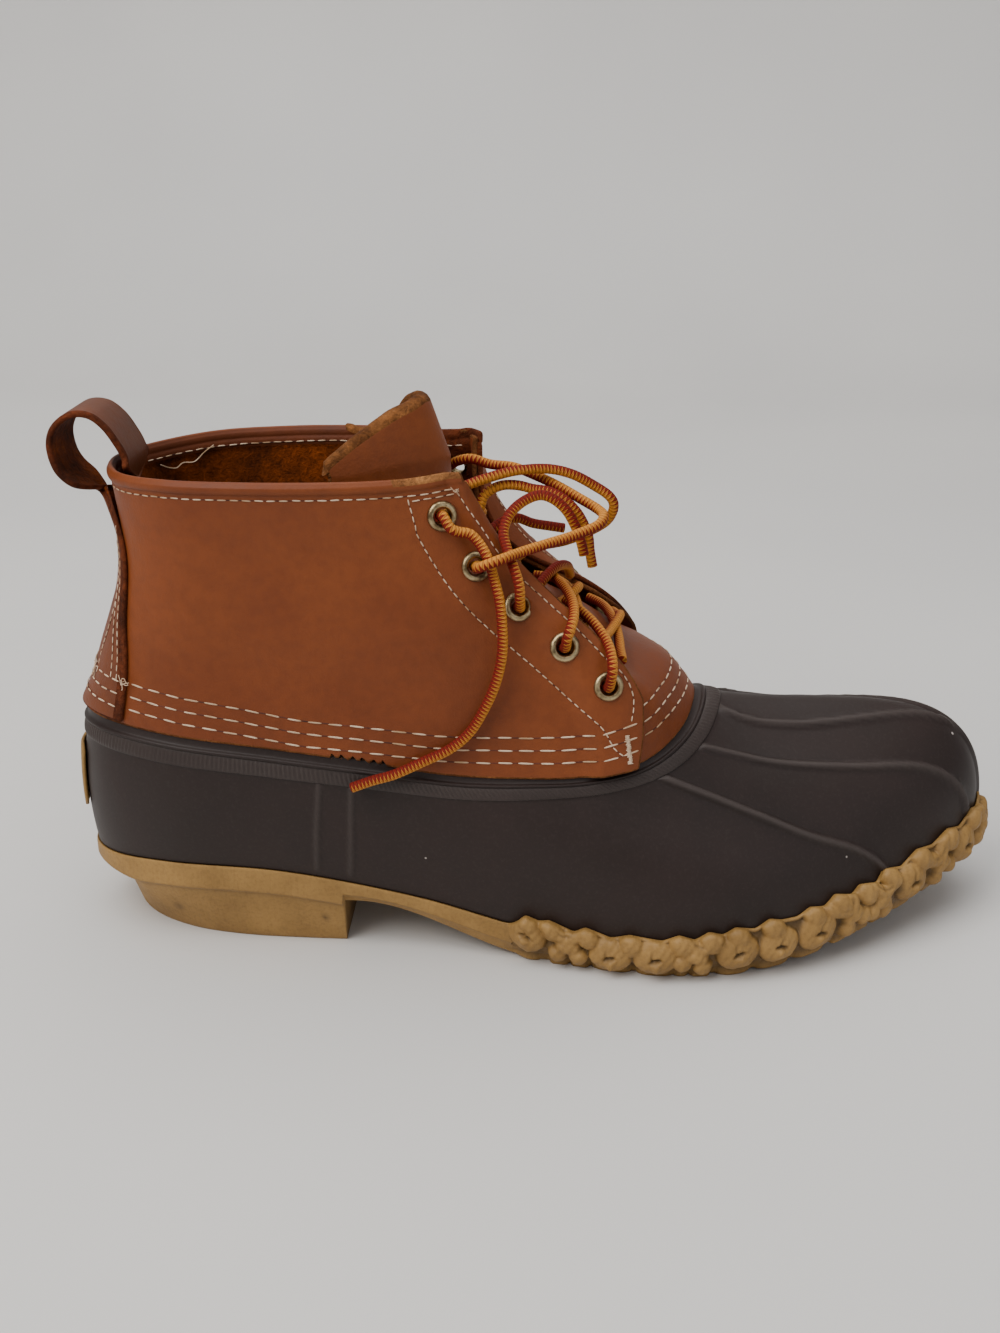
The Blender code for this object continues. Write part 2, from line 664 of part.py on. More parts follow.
def make_eyelets():
    bore = EYELET_HOLE + EYELET_WALL
    inside = EYELET_WALL - LEATHER
    for medial in (False, True):
        for index, hole in enumerate(EYELETS):
            centre, normal = eyelet_frame(hole, medial)
            lip = PIECE_GAP + FACET_ROOM + leather_swell(hole, *eyelet_frame(hole, False))
            profile = ((EYELET_HOLE, inside), (bore, inside), (bore, lip), (EYELET_RADIUS, lip),
                       (EYELET_RADIUS * 0.8, lip + EYELET_THICK), (EYELET_HOLE, lip + EYELET_THICK * 0.4))
            side = "medial" if medial else "lateral"
            obj = turned(f"eyelet_{side}_{index + 1}", centre, normal, profile)
            finish(obj, (0.30, 0.22, 0.10), 0.35, metal=1.0)


def punch_holes(upper):
    """Cut the eyelets' holes through the quarters."""
    for medial in (False, True):
        for index, hole in enumerate(EYELETS):
            centre, normal = eyelet_frame(hole, medial)
            radius = EYELET_HOLE + EYELET_WALL + PIECE_GAP
            cutter = turned(f"hole_{medial:d}_{index}", centre, normal,
                            ((radius, -LEATHER * 2), (radius, LEATHER * 1.5)), closed=False)
            cutter.hide_render = True
            cutter.display_type = "WIRE"
            cut = upper.modifiers.new(cutter.name, "BOOLEAN")
            cut.operation = "DIFFERENCE"
            cut.solver = "EXACT"
            cut.object = cutter


# Pull loop and backstay, one strap
Turn = namedtuple("Turn", "out up")
# out is a share of LOOP_OUT behind the collar's back, up a share of LOOP_RISE over it.
LOOP = (
    Turn(0.12, -0.79),
    Turn(0.33, -0.61),
    Turn(0.58, -0.43),
    Turn(0.83, -0.21),
    Turn(0.97, 0.07),
    Turn(1.00, 0.43),
    Turn(0.86, 0.74),
    Turn(0.54, 0.96),
    Turn(0.18, 0.95),
    Turn(-0.10, 0.74),
    Turn(-0.30, 0.44),
    Turn(-0.42, 0.18),
    Turn(-0.45, -0.06),
)
BACKSTAY_SHARES = (0.02, 0.14, 0.28, 0.42, 0.56, 0.68, 0.75)
LINING_SHARES = (0.87, 0.8)
STRAP_COLUMNS = 5


def strap_row(share, off):
    """Points across the strap where it lies on the leather."""
    row = []
    reach = np.linalg.norm(smooth(JOINT_LOOP, 0.4) - smooth(JOINT_LOOP, 0.0)) / 0.4
    for part in np.linspace(-1.0, 1.0, STRAP_COLUMNS):
        row.append(skin(SHAFT, [part * STRAP_WIDTH / 2 / reach], share, off)[0])
    return np.array(row)


def make_pull_loop():
    near = LEATHER_PROUD + PIECE_GAP + FACET_ROOM
    lining = LEATHER_PROUD - LEATHER - COLLAR_BULGE - PIECE_GAP - FACET_ROOM
    inner = [strap_row(share, near) for share in BACKSTAY_SHARES]
    outer = [strap_row(share, near + STRAP_THICK) for share in BACKSTAY_SHARES]
    width = (outer[-1] - outer[-1][STRAP_COLUMNS // 2]) * np.array([0.0, 1.0, 0.0])
    bow = (outer[-1] - outer[-1][STRAP_COLUMNS // 2]) * np.array([1.0, 0.0, 0.0])
    back = COLLAR_LOOP[0]
    path = [back + np.array([-turn.out * LOOP_OUT, 0.0, turn.up * LOOP_RISE]) for turn in LOOP]
    for index, place in enumerate(path):
        way = path[min(index + 1, len(path) - 1)] - path[max(index - 1, 0)]
        inward = np.cross(np.array([0.0, 1.0, 0.0]), way / np.linalg.norm(way))
        across = width + bow * (1 - ease(index, -1, 3))
        outer.append(place + across)
        inner.append(place + across + inward * STRAP_THICK)
    for share in LINING_SHARES:
        outer.append(strap_row(share, lining - STRAP_THICK))
        inner.append(strap_row(share, lining))
    obj = strip_body("pull_loop", outer + inner[::-1])
    finish(obj, (0.20, 0.06, 0.024), 0.55)
    return obj


def make_heel_tab():
    """Small plain rubber tab on the back of the heel."""
    reach = np.linalg.norm(smooth(EDGE_LOOP, 0.4) - smooth(EDGE_LOOP, 0.0)) / 0.4
    half = TAB_WIDTH / 2 / reach
    near = PIECE_GAP + FACET_ROOM
    outer, inner = [], []
    for share, inset in ((0.27, 0.8), (0.32, 1.0), (0.5, 1.0), (0.67, 1.0), (0.71, 0.8)):
        station = np.linspace(-half, half, 5) * inset
        outer.append(skin(RUBBER, station, share, near + TAB_THICK))
        inner.append(skin(RUBBER, station, share, near))
    obj = strip_body("heel_tab", outer + inner[::-1])
    finish(obj, (0.36, 0.20, 0.06), 0.6)
    return obj


# Lace: crossings over the tongue, then loops, runs and ends as cords
Spot = namedtuple("Spot", "along across high")
CROSS_SHARES = ((0.285, 0.372), (0.435, 0.53), (0.595, 0.68), (0.745, 0.845))
CROSS_REACH = 0.42
CROSS_SIDES = 6
LACE_ROUTES = {
    "lace_end_long": (
        Spot(0.434, -0.338, 0.901),
        Spot(0.444, -0.347, 0.882),
        Spot(0.452, -0.368, 0.858),
        Spot(0.457, -0.363, 0.823),
        Spot(0.463, -0.382, 0.782),
        Spot(0.466, -0.395, 0.731),
        Spot(0.466, -0.402, 0.676),
        Spot(0.460, -0.405, 0.620),
        Spot(0.449, -0.408, 0.567),
        Spot(0.434, -0.408, 0.516),
        Spot(0.414, -0.414, 0.481),
        Spot(0.388, -0.419, 0.455),
        Spot(0.358, -0.428, 0.428),
        Spot(0.334, -0.430, 0.413),
        Spot(0.313, -0.427, 0.396),
    ),
    "lace_loop_outer": (
        Spot(0.422, -0.127, 0.957),
        Spot(0.443, -0.108, 0.970),
        Spot(0.473, -0.078, 0.982),
        Spot(0.505, -0.039, 0.981),
        Spot(0.531, -0.020, 0.968),
        Spot(0.555, 0.000, 0.941),
        Spot(0.571, 0.000, 0.919),
        Spot(0.575, 0.010, 0.895),
        Spot(0.568, 0.029, 0.864),
        Spot(0.549, 0.059, 0.835),
        Spot(0.525, 0.098, 0.808),
        Spot(0.503, 0.137, 0.791),
    ),
    "lace_loop_inner": (
        Spot(0.412, 0.059, 0.979),
        Spot(0.427, 0.039, 0.987),
        Spot(0.447, 0.029, 0.978),
        Spot(0.471, 0.010, 0.976),
        Spot(0.496, -0.010, 0.961),
        Spot(0.515, -0.029, 0.947),
        Spot(0.539, -0.059, 0.926),
        Spot(0.558, -0.088, 0.909),
        Spot(0.564, -0.135, 0.903),
        Spot(0.557, -0.180, 0.892),
        Spot(0.532, -0.226, 0.879),
        Spot(0.507, -0.275, 0.872),
        Spot(0.482, -0.330, 0.865),
    ),
    "lace_end_gold": (
        Spot(0.436, -0.098, 0.895),
        Spot(0.439, -0.098, 0.915),
        Spot(0.444, -0.088, 0.937),
        Spot(0.459, -0.078, 0.952),
        Spot(0.476, -0.069, 0.952),
        Spot(0.492, -0.069, 0.945),
        Spot(0.508, -0.085, 0.943),
        Spot(0.523, -0.100, 0.931),
        Spot(0.535, -0.105, 0.910),
        Spot(0.543, -0.105, 0.886),
        Spot(0.549, -0.105, 0.857),
        Spot(0.551, -0.105, 0.826),
        Spot(0.554, -0.105, 0.795),
    ),
    "lace_end_red": (
        Spot(0.482, -0.376, 0.812),
        Spot(0.476, -0.350, 0.842),
        Spot(0.469, -0.305, 0.868),
        Spot(0.465, -0.265, 0.893),
        Spot(0.470, -0.222, 0.919),
        Spot(0.483, -0.180, 0.938),
        Spot(0.499, -0.155, 0.947),
        Spot(0.513, -0.155, 0.940),
        Spot(0.526, -0.158, 0.919),
        Spot(0.535, -0.158, 0.889),
        Spot(0.541, -0.158, 0.859),
        Spot(0.545, -0.158, 0.829),
    ),
}


def tube(name, points, radius, sides):
    """A plain closed tube along a short route."""
    rings = []
    for index, place in enumerate(points):
        way = points[min(index + 1, len(points) - 1)] - points[max(index - 1, 0)]
        way /= np.linalg.norm(way)
        first = np.cross(way, np.array([0.0, 0.0, 1.0]))
        first /= np.linalg.norm(first)
        second = np.cross(way, first)
        rings += [place + (first * math.cos(2 * math.pi * part / sides)
                           + second * math.sin(2 * math.pi * part / sides)) * radius
                  for part in range(sides)]
    faces = grid_faces(len(points), sides, False, True)
    last = (len(points) - 1) * sides
    faces = [face[::-1] for face in faces]
    faces.append(list(range(sides)))
    faces.append([last + part for part in range(sides)][::-1])
    return add_mesh(name, rings, faces)


def make_crossings():
    off = LEATHER_PROUD + PIECE_GAP + FACET_ROOM * 2.5 + LACE_DIAMETER / 2
    reach = STATIONS - QUARTER_FRONT - CROSS_REACH
    for index, (low, high) in enumerate(CROSS_SHARES):
        bars = []
        for start, end in ((low, high), (high, low)):
            points = []
            for part in np.linspace(-1.0, 1.0, 7):
                share = start + (end - start) * (part + 1) / 2
                points.append(tongue_point(share, part * reach / tongue_spread(share), off))
            bars.append(tube(f"lace_cross_{index + 1}" if not bars else f"bar_{index + 1}", points,
                             LACE_DIAMETER / 2, CROSS_SIDES))
        bars[1].hide_render = True
        bars[1].display_type = "WIRE"
        join = bars[0].modifiers.new("join", "BOOLEAN")
        join.operation = "UNION"
        join.solver = "EXACT"
        join.object = bars[1]
        finish(bars[0], (0.35, 0.12, 0.04), 0.7)


def make_cords():
    for name, route in LACE_ROUTES.items():
        size = np.array([BOOT_LENGTH, BALL_WIDTH, SHAFT_HEIGHT])
        spots = np.array([tuple(spot) for spot in route]) * size - np.array([BACK_REACH, 0.0, 0.0])
        ends = np.vstack([2 * spots[0] - spots[1], spots, 2 * spots[-1] - spots[-2]])
        fine = []
        for index in range(1, len(ends) - 2):
            for part in np.linspace(0.0, 1.0, 12, endpoint=False):
                before, here, after, later = ends[index - 1:index + 3]
                fine.append(0.5 * (2 * here + (after - before) * part
                                   + (2 * before - 5 * here + 4 * after - later) * part ** 2
                                   + (3 * here - before - 3 * after + later) * part ** 3))
        fine = np.array(fine + [spots[-1]])
        run = np.concatenate([[0.0], np.cumsum(np.linalg.norm(np.diff(fine, axis=0), axis=1))])
        count = max(3, int(round(run[-1] / (LACE_DIAMETER * LACE_STEP))) + 1)
        marks = np.linspace(0.0, run[-1], count)
        line = np.stack([np.interp(marks, run, fine[:, axis]) for axis in range(3)], axis=-1)
        curve = bpy.data.curves.new(name, "CURVE")
        curve.dimensions = "3D"
        curve.bevel_depth = LACE_DIAMETER / 2
        curve.bevel_resolution = 2
        curve.use_fill_caps = True
        spline = curve.splines.new("POLY")
        spline.points.add(count - 1)
        for point, place in zip(spline.points, line):
            point.co = (*place, 1.0)
        obj = bpy.data.objects.new(name, curve)
        bpy.context.collection.objects.link(obj)
        mat = bpy.data.materials.new(name + "_finish")
        mat.use_nodes = True
        shader = mat.node_tree.nodes["Principled BSDF"]
        shader.inputs["Base Color"].default_value = (0.35, 0.12, 0.04, 1.0)
        shader.inputs["Roughness"].default_value = 0.7
        curve.materials.append(mat)


make_outsole()
make_rubber()
punch_holes(make_quarters())
make_tongue()
make_insole()
make_eyelets()
make_pull_loop()
make_heel_tab()
make_crossings()
make_cords()
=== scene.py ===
import math

import bpy
import numpy as np
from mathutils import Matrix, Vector


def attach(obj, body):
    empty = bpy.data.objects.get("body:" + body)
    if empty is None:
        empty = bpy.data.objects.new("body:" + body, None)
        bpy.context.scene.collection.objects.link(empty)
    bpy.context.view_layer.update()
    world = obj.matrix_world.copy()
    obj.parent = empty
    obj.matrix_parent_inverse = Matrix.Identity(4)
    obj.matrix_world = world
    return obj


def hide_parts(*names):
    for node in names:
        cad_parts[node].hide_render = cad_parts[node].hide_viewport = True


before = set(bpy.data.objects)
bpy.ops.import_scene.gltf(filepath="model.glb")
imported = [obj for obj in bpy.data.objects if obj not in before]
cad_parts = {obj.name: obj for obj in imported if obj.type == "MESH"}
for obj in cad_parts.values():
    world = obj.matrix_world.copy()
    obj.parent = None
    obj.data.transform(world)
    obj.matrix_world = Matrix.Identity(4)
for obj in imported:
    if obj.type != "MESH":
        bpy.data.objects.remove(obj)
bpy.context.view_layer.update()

bpy.ops.object.select_all(action="DESELECT")
chance = np.random.default_rng(11)
mm = 0.001


# Camera: the near side of the boot from a little above, as in the photograph
cameraSetup = {"place": (0.10767, -0.46620, 0.27209), "tilt": 68.5, "turn": 3.0, "lens": 40.51}
bpy.ops.object.camera_add(location=cameraSetup["place"],
                          rotation=(math.radians(cameraSetup["tilt"]), 0, math.radians(cameraSetup["turn"])))
camera = bpy.context.object
camera.data.lens = cameraSetup["lens"]
camera.data.sensor_width = 36
camera.data.clip_start = 0.01
bpy.context.scene.camera = camera


# The last's shape: the same named sizes and tables as the solids have
bootSize = {"length": 0.309, "backReach": 0.058, "ballWidth": 0.102, "edgeHeight": 0.030,
            "jointHeight": 0.075, "shaftHeight": 0.160}
# A row per station from the back (0) to the front (10): along, lateral, medial, high, as shares.
soleEdge = [
    (0.000, 0.000, 0.000, 0.817), (0.032, 0.216, 0.216, 0.917), (0.110, 0.333, 0.333, 1.000),
    (0.236, 0.353, 0.338, 0.950), (0.375, 0.363, 0.304, 0.700), (0.511, 0.412, 0.382, 0.400),
    (0.647, 0.471, 0.490, 0.367), (0.773, 0.397, 0.534, 0.500), (0.885, 0.196, 0.480, 0.740),
    (0.966, -0.010, 0.363, 0.930), (0.998, -0.186, 0.186, 1.030)]
leatherEdge = [
    (0.005, 0.000, 0.000, 1.000), (0.039, 0.216, 0.216, 1.033), (0.123, 0.343, 0.343, 1.027),
    (0.227, 0.373, 0.363, 0.993), (0.324, 0.382, 0.363, 0.947), (0.408, 0.387, 0.377, 0.900),
    (0.485, 0.382, 0.382, 0.887), (0.550, 0.368, 0.392, 0.893), (0.608, 0.324, 0.363, 0.940),
    (0.649, 0.167, 0.216, 1.007), (0.665, -0.039, 0.039, 1.067)]
collarEdge = [
    (0.055, 0.000, 0.000, 0.984), (0.078, 0.196, 0.196, 0.984), (0.139, 0.330, 0.335, 0.992),
    (0.214, 0.373, 0.387, 0.996), (0.278, 0.378, 0.395, 0.998), (0.333, 0.360, 0.380, 0.999),
    (0.375, 0.324, 0.333, 1.000), (0.408, 0.284, 0.294, 1.006), (0.424, 0.235, 0.245, 1.009),
    (0.434, 0.118, 0.127, 1.009), (0.437, 0.000, 0.000, 1.009)]
# Handles of the curves up the side: low reach, low rise, top reach, top rise, belly.
rubberSide = [
    (0.33, 0.33, 0.67, 0.67, 0.030), (0.33, 0.33, 0.67, 0.67, 0.034), (0.33, 0.33, 0.67, 0.67, 0.040),
    (0.33, 0.33, 0.67, 0.67, 0.040), (0.20, 0.36, 0.67, 0.67, 0.040), (0.10, 0.38, 0.60, 0.64, 0.042),
    (0.05, 0.40, 0.58, 0.62, 0.042), (0.10, 0.44, 0.50, 0.52, 0.040), (0.16, 0.54, 0.46, 0.44, 0.034),
    (-0.04, 1.04, 0.66, 0.50, 0.010), (-0.01, 1.17, 0.58, 0.77, 0.000)]
leatherSide = [
    (0.55, 0.33, 1.39, 0.67, 0.000), (0.52, 0.33, 1.25, 0.67, 0.000), (0.40, 0.33, 0.90, 0.67, -0.018),
    (0.33, 0.33, 0.67, 0.67, -0.024), (0.33, 0.33, 0.67, 0.67, -0.024), (0.25, 0.33, 0.70, 0.67, -0.020),
    (0.15, 0.36, 0.74, 0.64, -0.016), (0.02, 0.45, 0.80, 0.58, -0.024), (-0.12, 0.57, 0.88, 0.50, -0.060),
    (0.20, 0.48, 0.80, 0.43, -0.024), (0.33, 0.42, 0.76, 0.37, 0.000)]
medialFlap = {8: (-0.18, 0.59, 1.05, 0.31, -0.120), 9: (0.16, 0.49, 0.88, 0.37, -0.030)}
leather = {"thick": 1.8 * mm, "proud": 1.1 * mm, "lap": 3.0 * mm, "lapStart": 6.9, "lapEnd": 7.35,
           "front": 8.0, "roll": 3.0 * mm, "rollBulge": 0.7 * mm}
# a quarter's front edge: share of the way up, station
frontCut = [(0, 7.82), (0.03, 7.83), (0.14, 7.91), (0.18, 7.97), (0.29, 7.89), (0.37, 7.82), (0.52, 7.77),
            (0.675, 7.77), (0.77, 7.84), (0.87, 7.81), (0.95, 7.58), (0.98, 7.48), (1, 7.38)]


def roundLoop(rows, height):
    out = [(along, -lateral, high) for along, lateral, medial, high in rows]
    out += [(along, medial, high) for along, lateral, medial, high in rows[-2:0:-1]]
    return np.array(out) * (bootSize["length"], bootSize["ballWidth"], height) - (bootSize["backReach"], 0, 0)


def sideHandles(rows, medial={}):
    return np.array(rows + [medial.get(i, rows[i]) for i in range(len(rows) - 2, 0, -1)])


def smooth(values, station):
    # a closed smooth curve through the rows
    station = np.asarray(station, dtype=float)
    base = np.floor(station).astype(int)
    t = (station - base)[..., None]
    p, q, r, s = (values[(base + k) % len(values)] for k in (-1, 0, 1, 2))
    return 0.5 * (2 * q + (r - p) * t + (2 * p - 5 * q + 4 * r - s) * t ** 2 + (3 * q - p - 3 * r + s) * t ** 3)


edgeLoop = roundLoop(soleEdge, bootSize["edgeHeight"])
jointLoop = roundLoop(leatherEdge, bootSize["jointHeight"])
collarLoop = roundLoop(collarEdge, bootSize["shaftHeight"])


def outward(loop, station):
    way = smooth(loop, np.asarray(station) + 0.01) - smooth(loop, np.asarray(station) - 0.01)
    side = np.stack([way[..., 1], -way[..., 0], way[..., 0] * 0], axis=-1)
    return side / np.linalg.norm(side, axis=-1, keepdims=True)


def layForm(lowLoop, topLoop, handles, drawIn=0.0):
    # a dense net of one side surface: rows are shares of the way up, columns are stations
    # drawIn hollows the back over the heel, as the worn leather has it
    station = np.linspace(0, 20, 1601)
    low, top, hand = smooth(lowLoop, station), smooth(topLoop, station), smooth(handles, station)
    way, rise = (top - low) * (1, 1, 0), (top - low) * (0, 0, 1)
    belly = outward(lowLoop, station) * hand[:, 4:5] * bootSize["ballWidth"]
    first = low + way * hand[:, 0:1] + rise * hand[:, 1:2] + belly
    second = low + way * hand[:, 2:3] + rise * hand[:, 3:4] + belly
    t = np.linspace(0, 1, 97)[:, None, None]
    curve = low * (1 - t) ** 3 + first * 3 * t * (1 - t) ** 2 + second * 3 * t ** 2 * (1 - t) + top * t ** 3
    run = np.vstack([np.zeros(1601), np.cumsum(np.linalg.norm(np.diff(curve, axis=0), axis=-1), axis=0)])
    share = np.linspace(0, 1, 161)
    net = np.empty((161, 1601, 3))
    for i in range(1601):
        for axis in range(3):
            net[:, i, axis] = np.interp(share, run[:, i] / run[-1, i], curve[:, i, axis])
    hollow = 4.2 * np.exp(-((share - 0.56) / 0.24) ** 2) + 1.9 * np.exp(-((share - 0.18) / 0.12) ** 2)
    hollow = drawIn * hollow[:, None] * np.exp(-(np.minimum(station, 20 - station) / 1.1) ** 2)
    net = net - outward(lowLoop, station) * hollow[..., None]
    across = np.roll(net[:, :-1], -1, axis=1) - np.roll(net[:, :-1], 1, axis=1)
    normal = np.cross(np.concatenate([across, across[:, :1]], axis=1), np.gradient(net, axis=0))
    return {"net": net, "normal": normal / np.linalg.norm(normal, axis=-1, keepdims=True), "length": run[-1]}


def surfaceAt(form, station, share, off=0.0):
    station, share, off = np.broadcast_arrays(*(np.asarray(v, dtype=float) for v in (station, share, off)))
    col, row = np.mod(station, 20) * 80, np.clip(share, 0, 1) * 160
    c, r = np.minimum(col.astype(int), 1599), np.minimum(row.astype(int), 159)
    u, v = (col - c)[..., None], (row - r)[..., None]
    place, normal = (((net[r, c] * (1 - u) + net[r, c + 1] * u) * (1 - v)
                      + (net[r + 1, c] * (1 - u) + net[r + 1, c + 1] * u) * v)
                     for net in (form["net"], form["normal"]))
    return place + normal / np.linalg.norm(normal, axis=-1, keepdims=True) * off[..., None]


def lengthAt(form, station):
    return np.interp(np.mod(station, 20), np.linspace(0, 20, 1601), form["length"])


rubberForm = layForm(edgeLoop, jointLoop, sideHandles(rubberSide))
shaftForm = layForm(jointLoop, collarLoop, sideHandles(leatherSide, medialFlap), drawIn=mm)


def ease(value, start, end):
    t = np.clip((np.asarray(value, dtype=float) - start) / (end - start), 0, 1)
    return t * t * (3 - 2 * t)


def frontDistance(station):
    turn = np.mod(np.asarray(station, dtype=float), 20)
    return np.minimum(turn, 20 - turn)


def runAlong(line):
    return np.concatenate([[0], np.cumsum(np.linalg.norm(np.diff(line, axis=0), axis=1))])


def evenStations(loop, start, end, count):
    # stations at equal steps along a loop
    fine = np.linspace(start, end, 4001)
    run = runAlong(smooth(loop, fine))
    return np.interp(np.linspace(0, run[-1], count), run, fine)


def unit(v):
    return v / np.maximum(np.linalg.norm(v, axis=-1, keepdims=True), 1e-12)


def throughPoints(points, steps=10):
    # an open smooth curve through the points, along the first axis
    points = np.asarray(points, dtype=float)
    ends = np.concatenate([[2 * points[0] - points[1]], points, [2 * points[-1] - points[-2]]])
    out = []
    for i in range(1, len(ends) - 2):
        p, q, r, s = ends[i - 1:i + 3]
        for t in np.linspace(0, 1, steps, endpoint=False):
            out.append(0.5 * (2 * q + (r - p) * t + (2 * p - 5 * q + 4 * r - s) * t ** 2
                              + (3 * q - p - 3 * r + s) * t ** 3))
    return np.array(out + [points[-1]])


def evenSteps(line, step):
    run = runAlong(line)
    marks = np.linspace(0, run[-1], max(3, int(round(run[-1] / step)) + 1))
    return np.stack([np.interp(marks, run, line[:, axis]) for axis in range(line.shape[1])], axis=-1), marks


print("forms laid")


def pickAlone(piece):
    bpy.ops.object.select_all(action="DESELECT")
    piece.select_set(True)
    bpy.context.view_layer.objects.active = piece


# Making meshes: a grid primitive laid over rows of places, its seams merged
def layGrid(name, places, uv=None, marks=None, slots=None):
    rows, cols = places.shape[:2]
    bpy.ops.object.select_all(action="DESELECT")
    bpy.ops.mesh.primitive_grid_add(x_subdivisions=cols - 1, y_subdivisions=rows - 1, size=1)
    piece = bpy.context.object
    piece.name = piece.data.name = name
    mesh = piece.data
    assert len(mesh.vertices) == rows * cols, (name, len(mesh.vertices), rows, cols)
    mesh.vertices.foreach_set("co", np.ascontiguousarray(places, dtype=np.float32).reshape(-1))
    corner = np.empty(len(mesh.loops), dtype=np.int32)
    mesh.loops.foreach_get("vertex_index", corner)
    if uv is not None:
        flat = np.stack(np.broadcast_arrays(*uv), axis=-1).reshape(-1, 2)
        mesh.uv_layers[0].data.foreach_set("uv", flat[corner].astype(np.float32).reshape(-1))
    for mark, values in (marks or {}).items():
        layer = mesh.attributes.new(mark, "FLOAT", "POINT")
        layer.data.foreach_set("value", np.broadcast_to(values, (rows, cols)).astype(np.float32).reshape(-1))
    if slots is not None:
        mesh.polygons.foreach_set("material_index", np.asarray(slots, dtype=np.int32).reshape(-1))
    mesh.polygons.foreach_set("use_smooth", np.ones(len(mesh.polygons), dtype=bool))
    mesh.update()
    bpy.ops.object.mode_set(mode="EDIT")
    bpy.ops.mesh.select_all(action="SELECT")
    bpy.ops.mesh.remove_doubles(threshold=2e-6)
    bpy.ops.mesh.select_all(action="DESELECT")
    bpy.ops.object.mode_set(mode="OBJECT")
    return piece


def wrapSheet(outer, inner, around=False):
    # outside and inside rows become one closed skin with rounded rims
    if not around:
        for end, near in ((0, 1), (-1, -2)):
            middle = (outer[:, end] + inner[:, end]) / 2
            way = unit(middle - (outer[:, near] + inner[:, near]) / 2)
            half = (outer[:, end] - inner[:, end]) / 2
            thick = np.linalg.norm(half, axis=-1, keepdims=True)
            turns = np.radians([35, 65, 90])
            outs = [middle + half * math.cos(a) + way * thick * math.sin(a) for a in turns]
            ins = [middle - half * math.cos(a) + way * thick * math.sin(a) for a in turns]
            if end == 0:
                outer = np.concatenate([np.stack(outs[::-1], 1), outer], axis=1)
                inner = np.concatenate([np.stack(ins[::-1], 1), inner], axis=1)
            else:
                outer = np.concatenate([outer, np.stack(outs, 1)], axis=1)
                inner = np.concatenate([inner, np.stack(ins, 1)], axis=1)
    rows, side = list(outer), [0] * len(outer)
    for end, near, first, second in ((-1, -2, outer, inner), (0, 1, inner, outer)):
        middle = (first[end] + second[end]) / 2
        way = unit(middle - (first[near] + second[near]) / 2)
        half = (first[end] - second[end]) / 2
        thick = np.linalg.norm(half, axis=-1, keepdims=True)
        rows += [middle + half * math.cos(a) + way * thick * math.sin(a) for a in np.radians([30, 60, 90, 120, 150])]
        side += [1] * 5
        if end == -1:
            rows += list(inner[::-1])
            side += [2] * len(inner)
    rows.append(outer[0])
    side.append(0)
    places = np.array(rows)
    side = np.array(side)
    slot = np.where(side[:-1] == side[1:], side[:-1], 1)
    slots = np.repeat(slot[:, None], places.shape[1] - 1, axis=1)
    if not around:
        slots[:, :3] = 1
        slots[:, -3:] = 1
    return places, slots


# Materials
def colour(code):
    parts = [int(code[i:i + 2], 16) / 255 for i in (1, 3, 5)]
    return tuple(p / 12.92 if p <= 0.04045 else ((p + 0.055) / 1.055) ** 2.4 for p in parts) + (1.0,)


def addNode(mat, kind, settings={}, links={}):
    made = mat.node_tree.nodes.new("ShaderNode" + kind)
    for name, value in settings.items():
        if name == "ramp":
            while len(made.color_ramp.elements) > 1:
                made.color_ramp.elements.remove(made.color_ramp.elements[-1])
            for i, (place, tint) in enumerate(value):
                stop = made.color_ramp.elements[0] if i == 0 else made.color_ramp.elements.new(place)
                stop.position, stop.color = place, tint
        elif isinstance(name, str) and hasattr(made, name):
            setattr(made, name, value)
        else:
            made.inputs[name].default_value = value
    for name, source in links.items():
        mat.node_tree.links.new(source, made.inputs[name])
    return made.outputs


def newMaterial(name):
    mat = bpy.data.materials.new(name)
    mat.use_nodes = True
    return mat, mat.node_tree.nodes["Principled BSDF"]


def joinTo(mat, source, target):
    mat.node_tree.links.new(source, target)


def noise(mat, at, **settings):
    return addNode(mat, "TexNoise", settings, {"Vector": at})


def tones(mat, stops, source):
    return addNode(mat, "ValToRGB", {"ramp": stops}, {"Fac": source})


def multiply(mat, share, lower, upper):
    settings = {"data_type": "RGBA", "blend_type": "MULTIPLY", 0: share}
    return addNode(mat, "Mix", settings, {6: lower, 7: upper})


def roughen(mat, shader, *steps):
    # bumps of (strength, depth, height), each laid over the one before
    under = {}
    for strength, depth, height in steps:
        bump = addNode(mat, "Bump", {"Strength": strength, "Distance": depth}, {"Height": height, **under})
        under = {"Normal": bump["Normal"]}
    joinTo(mat, bump["Normal"], shader.inputs["Normal"])


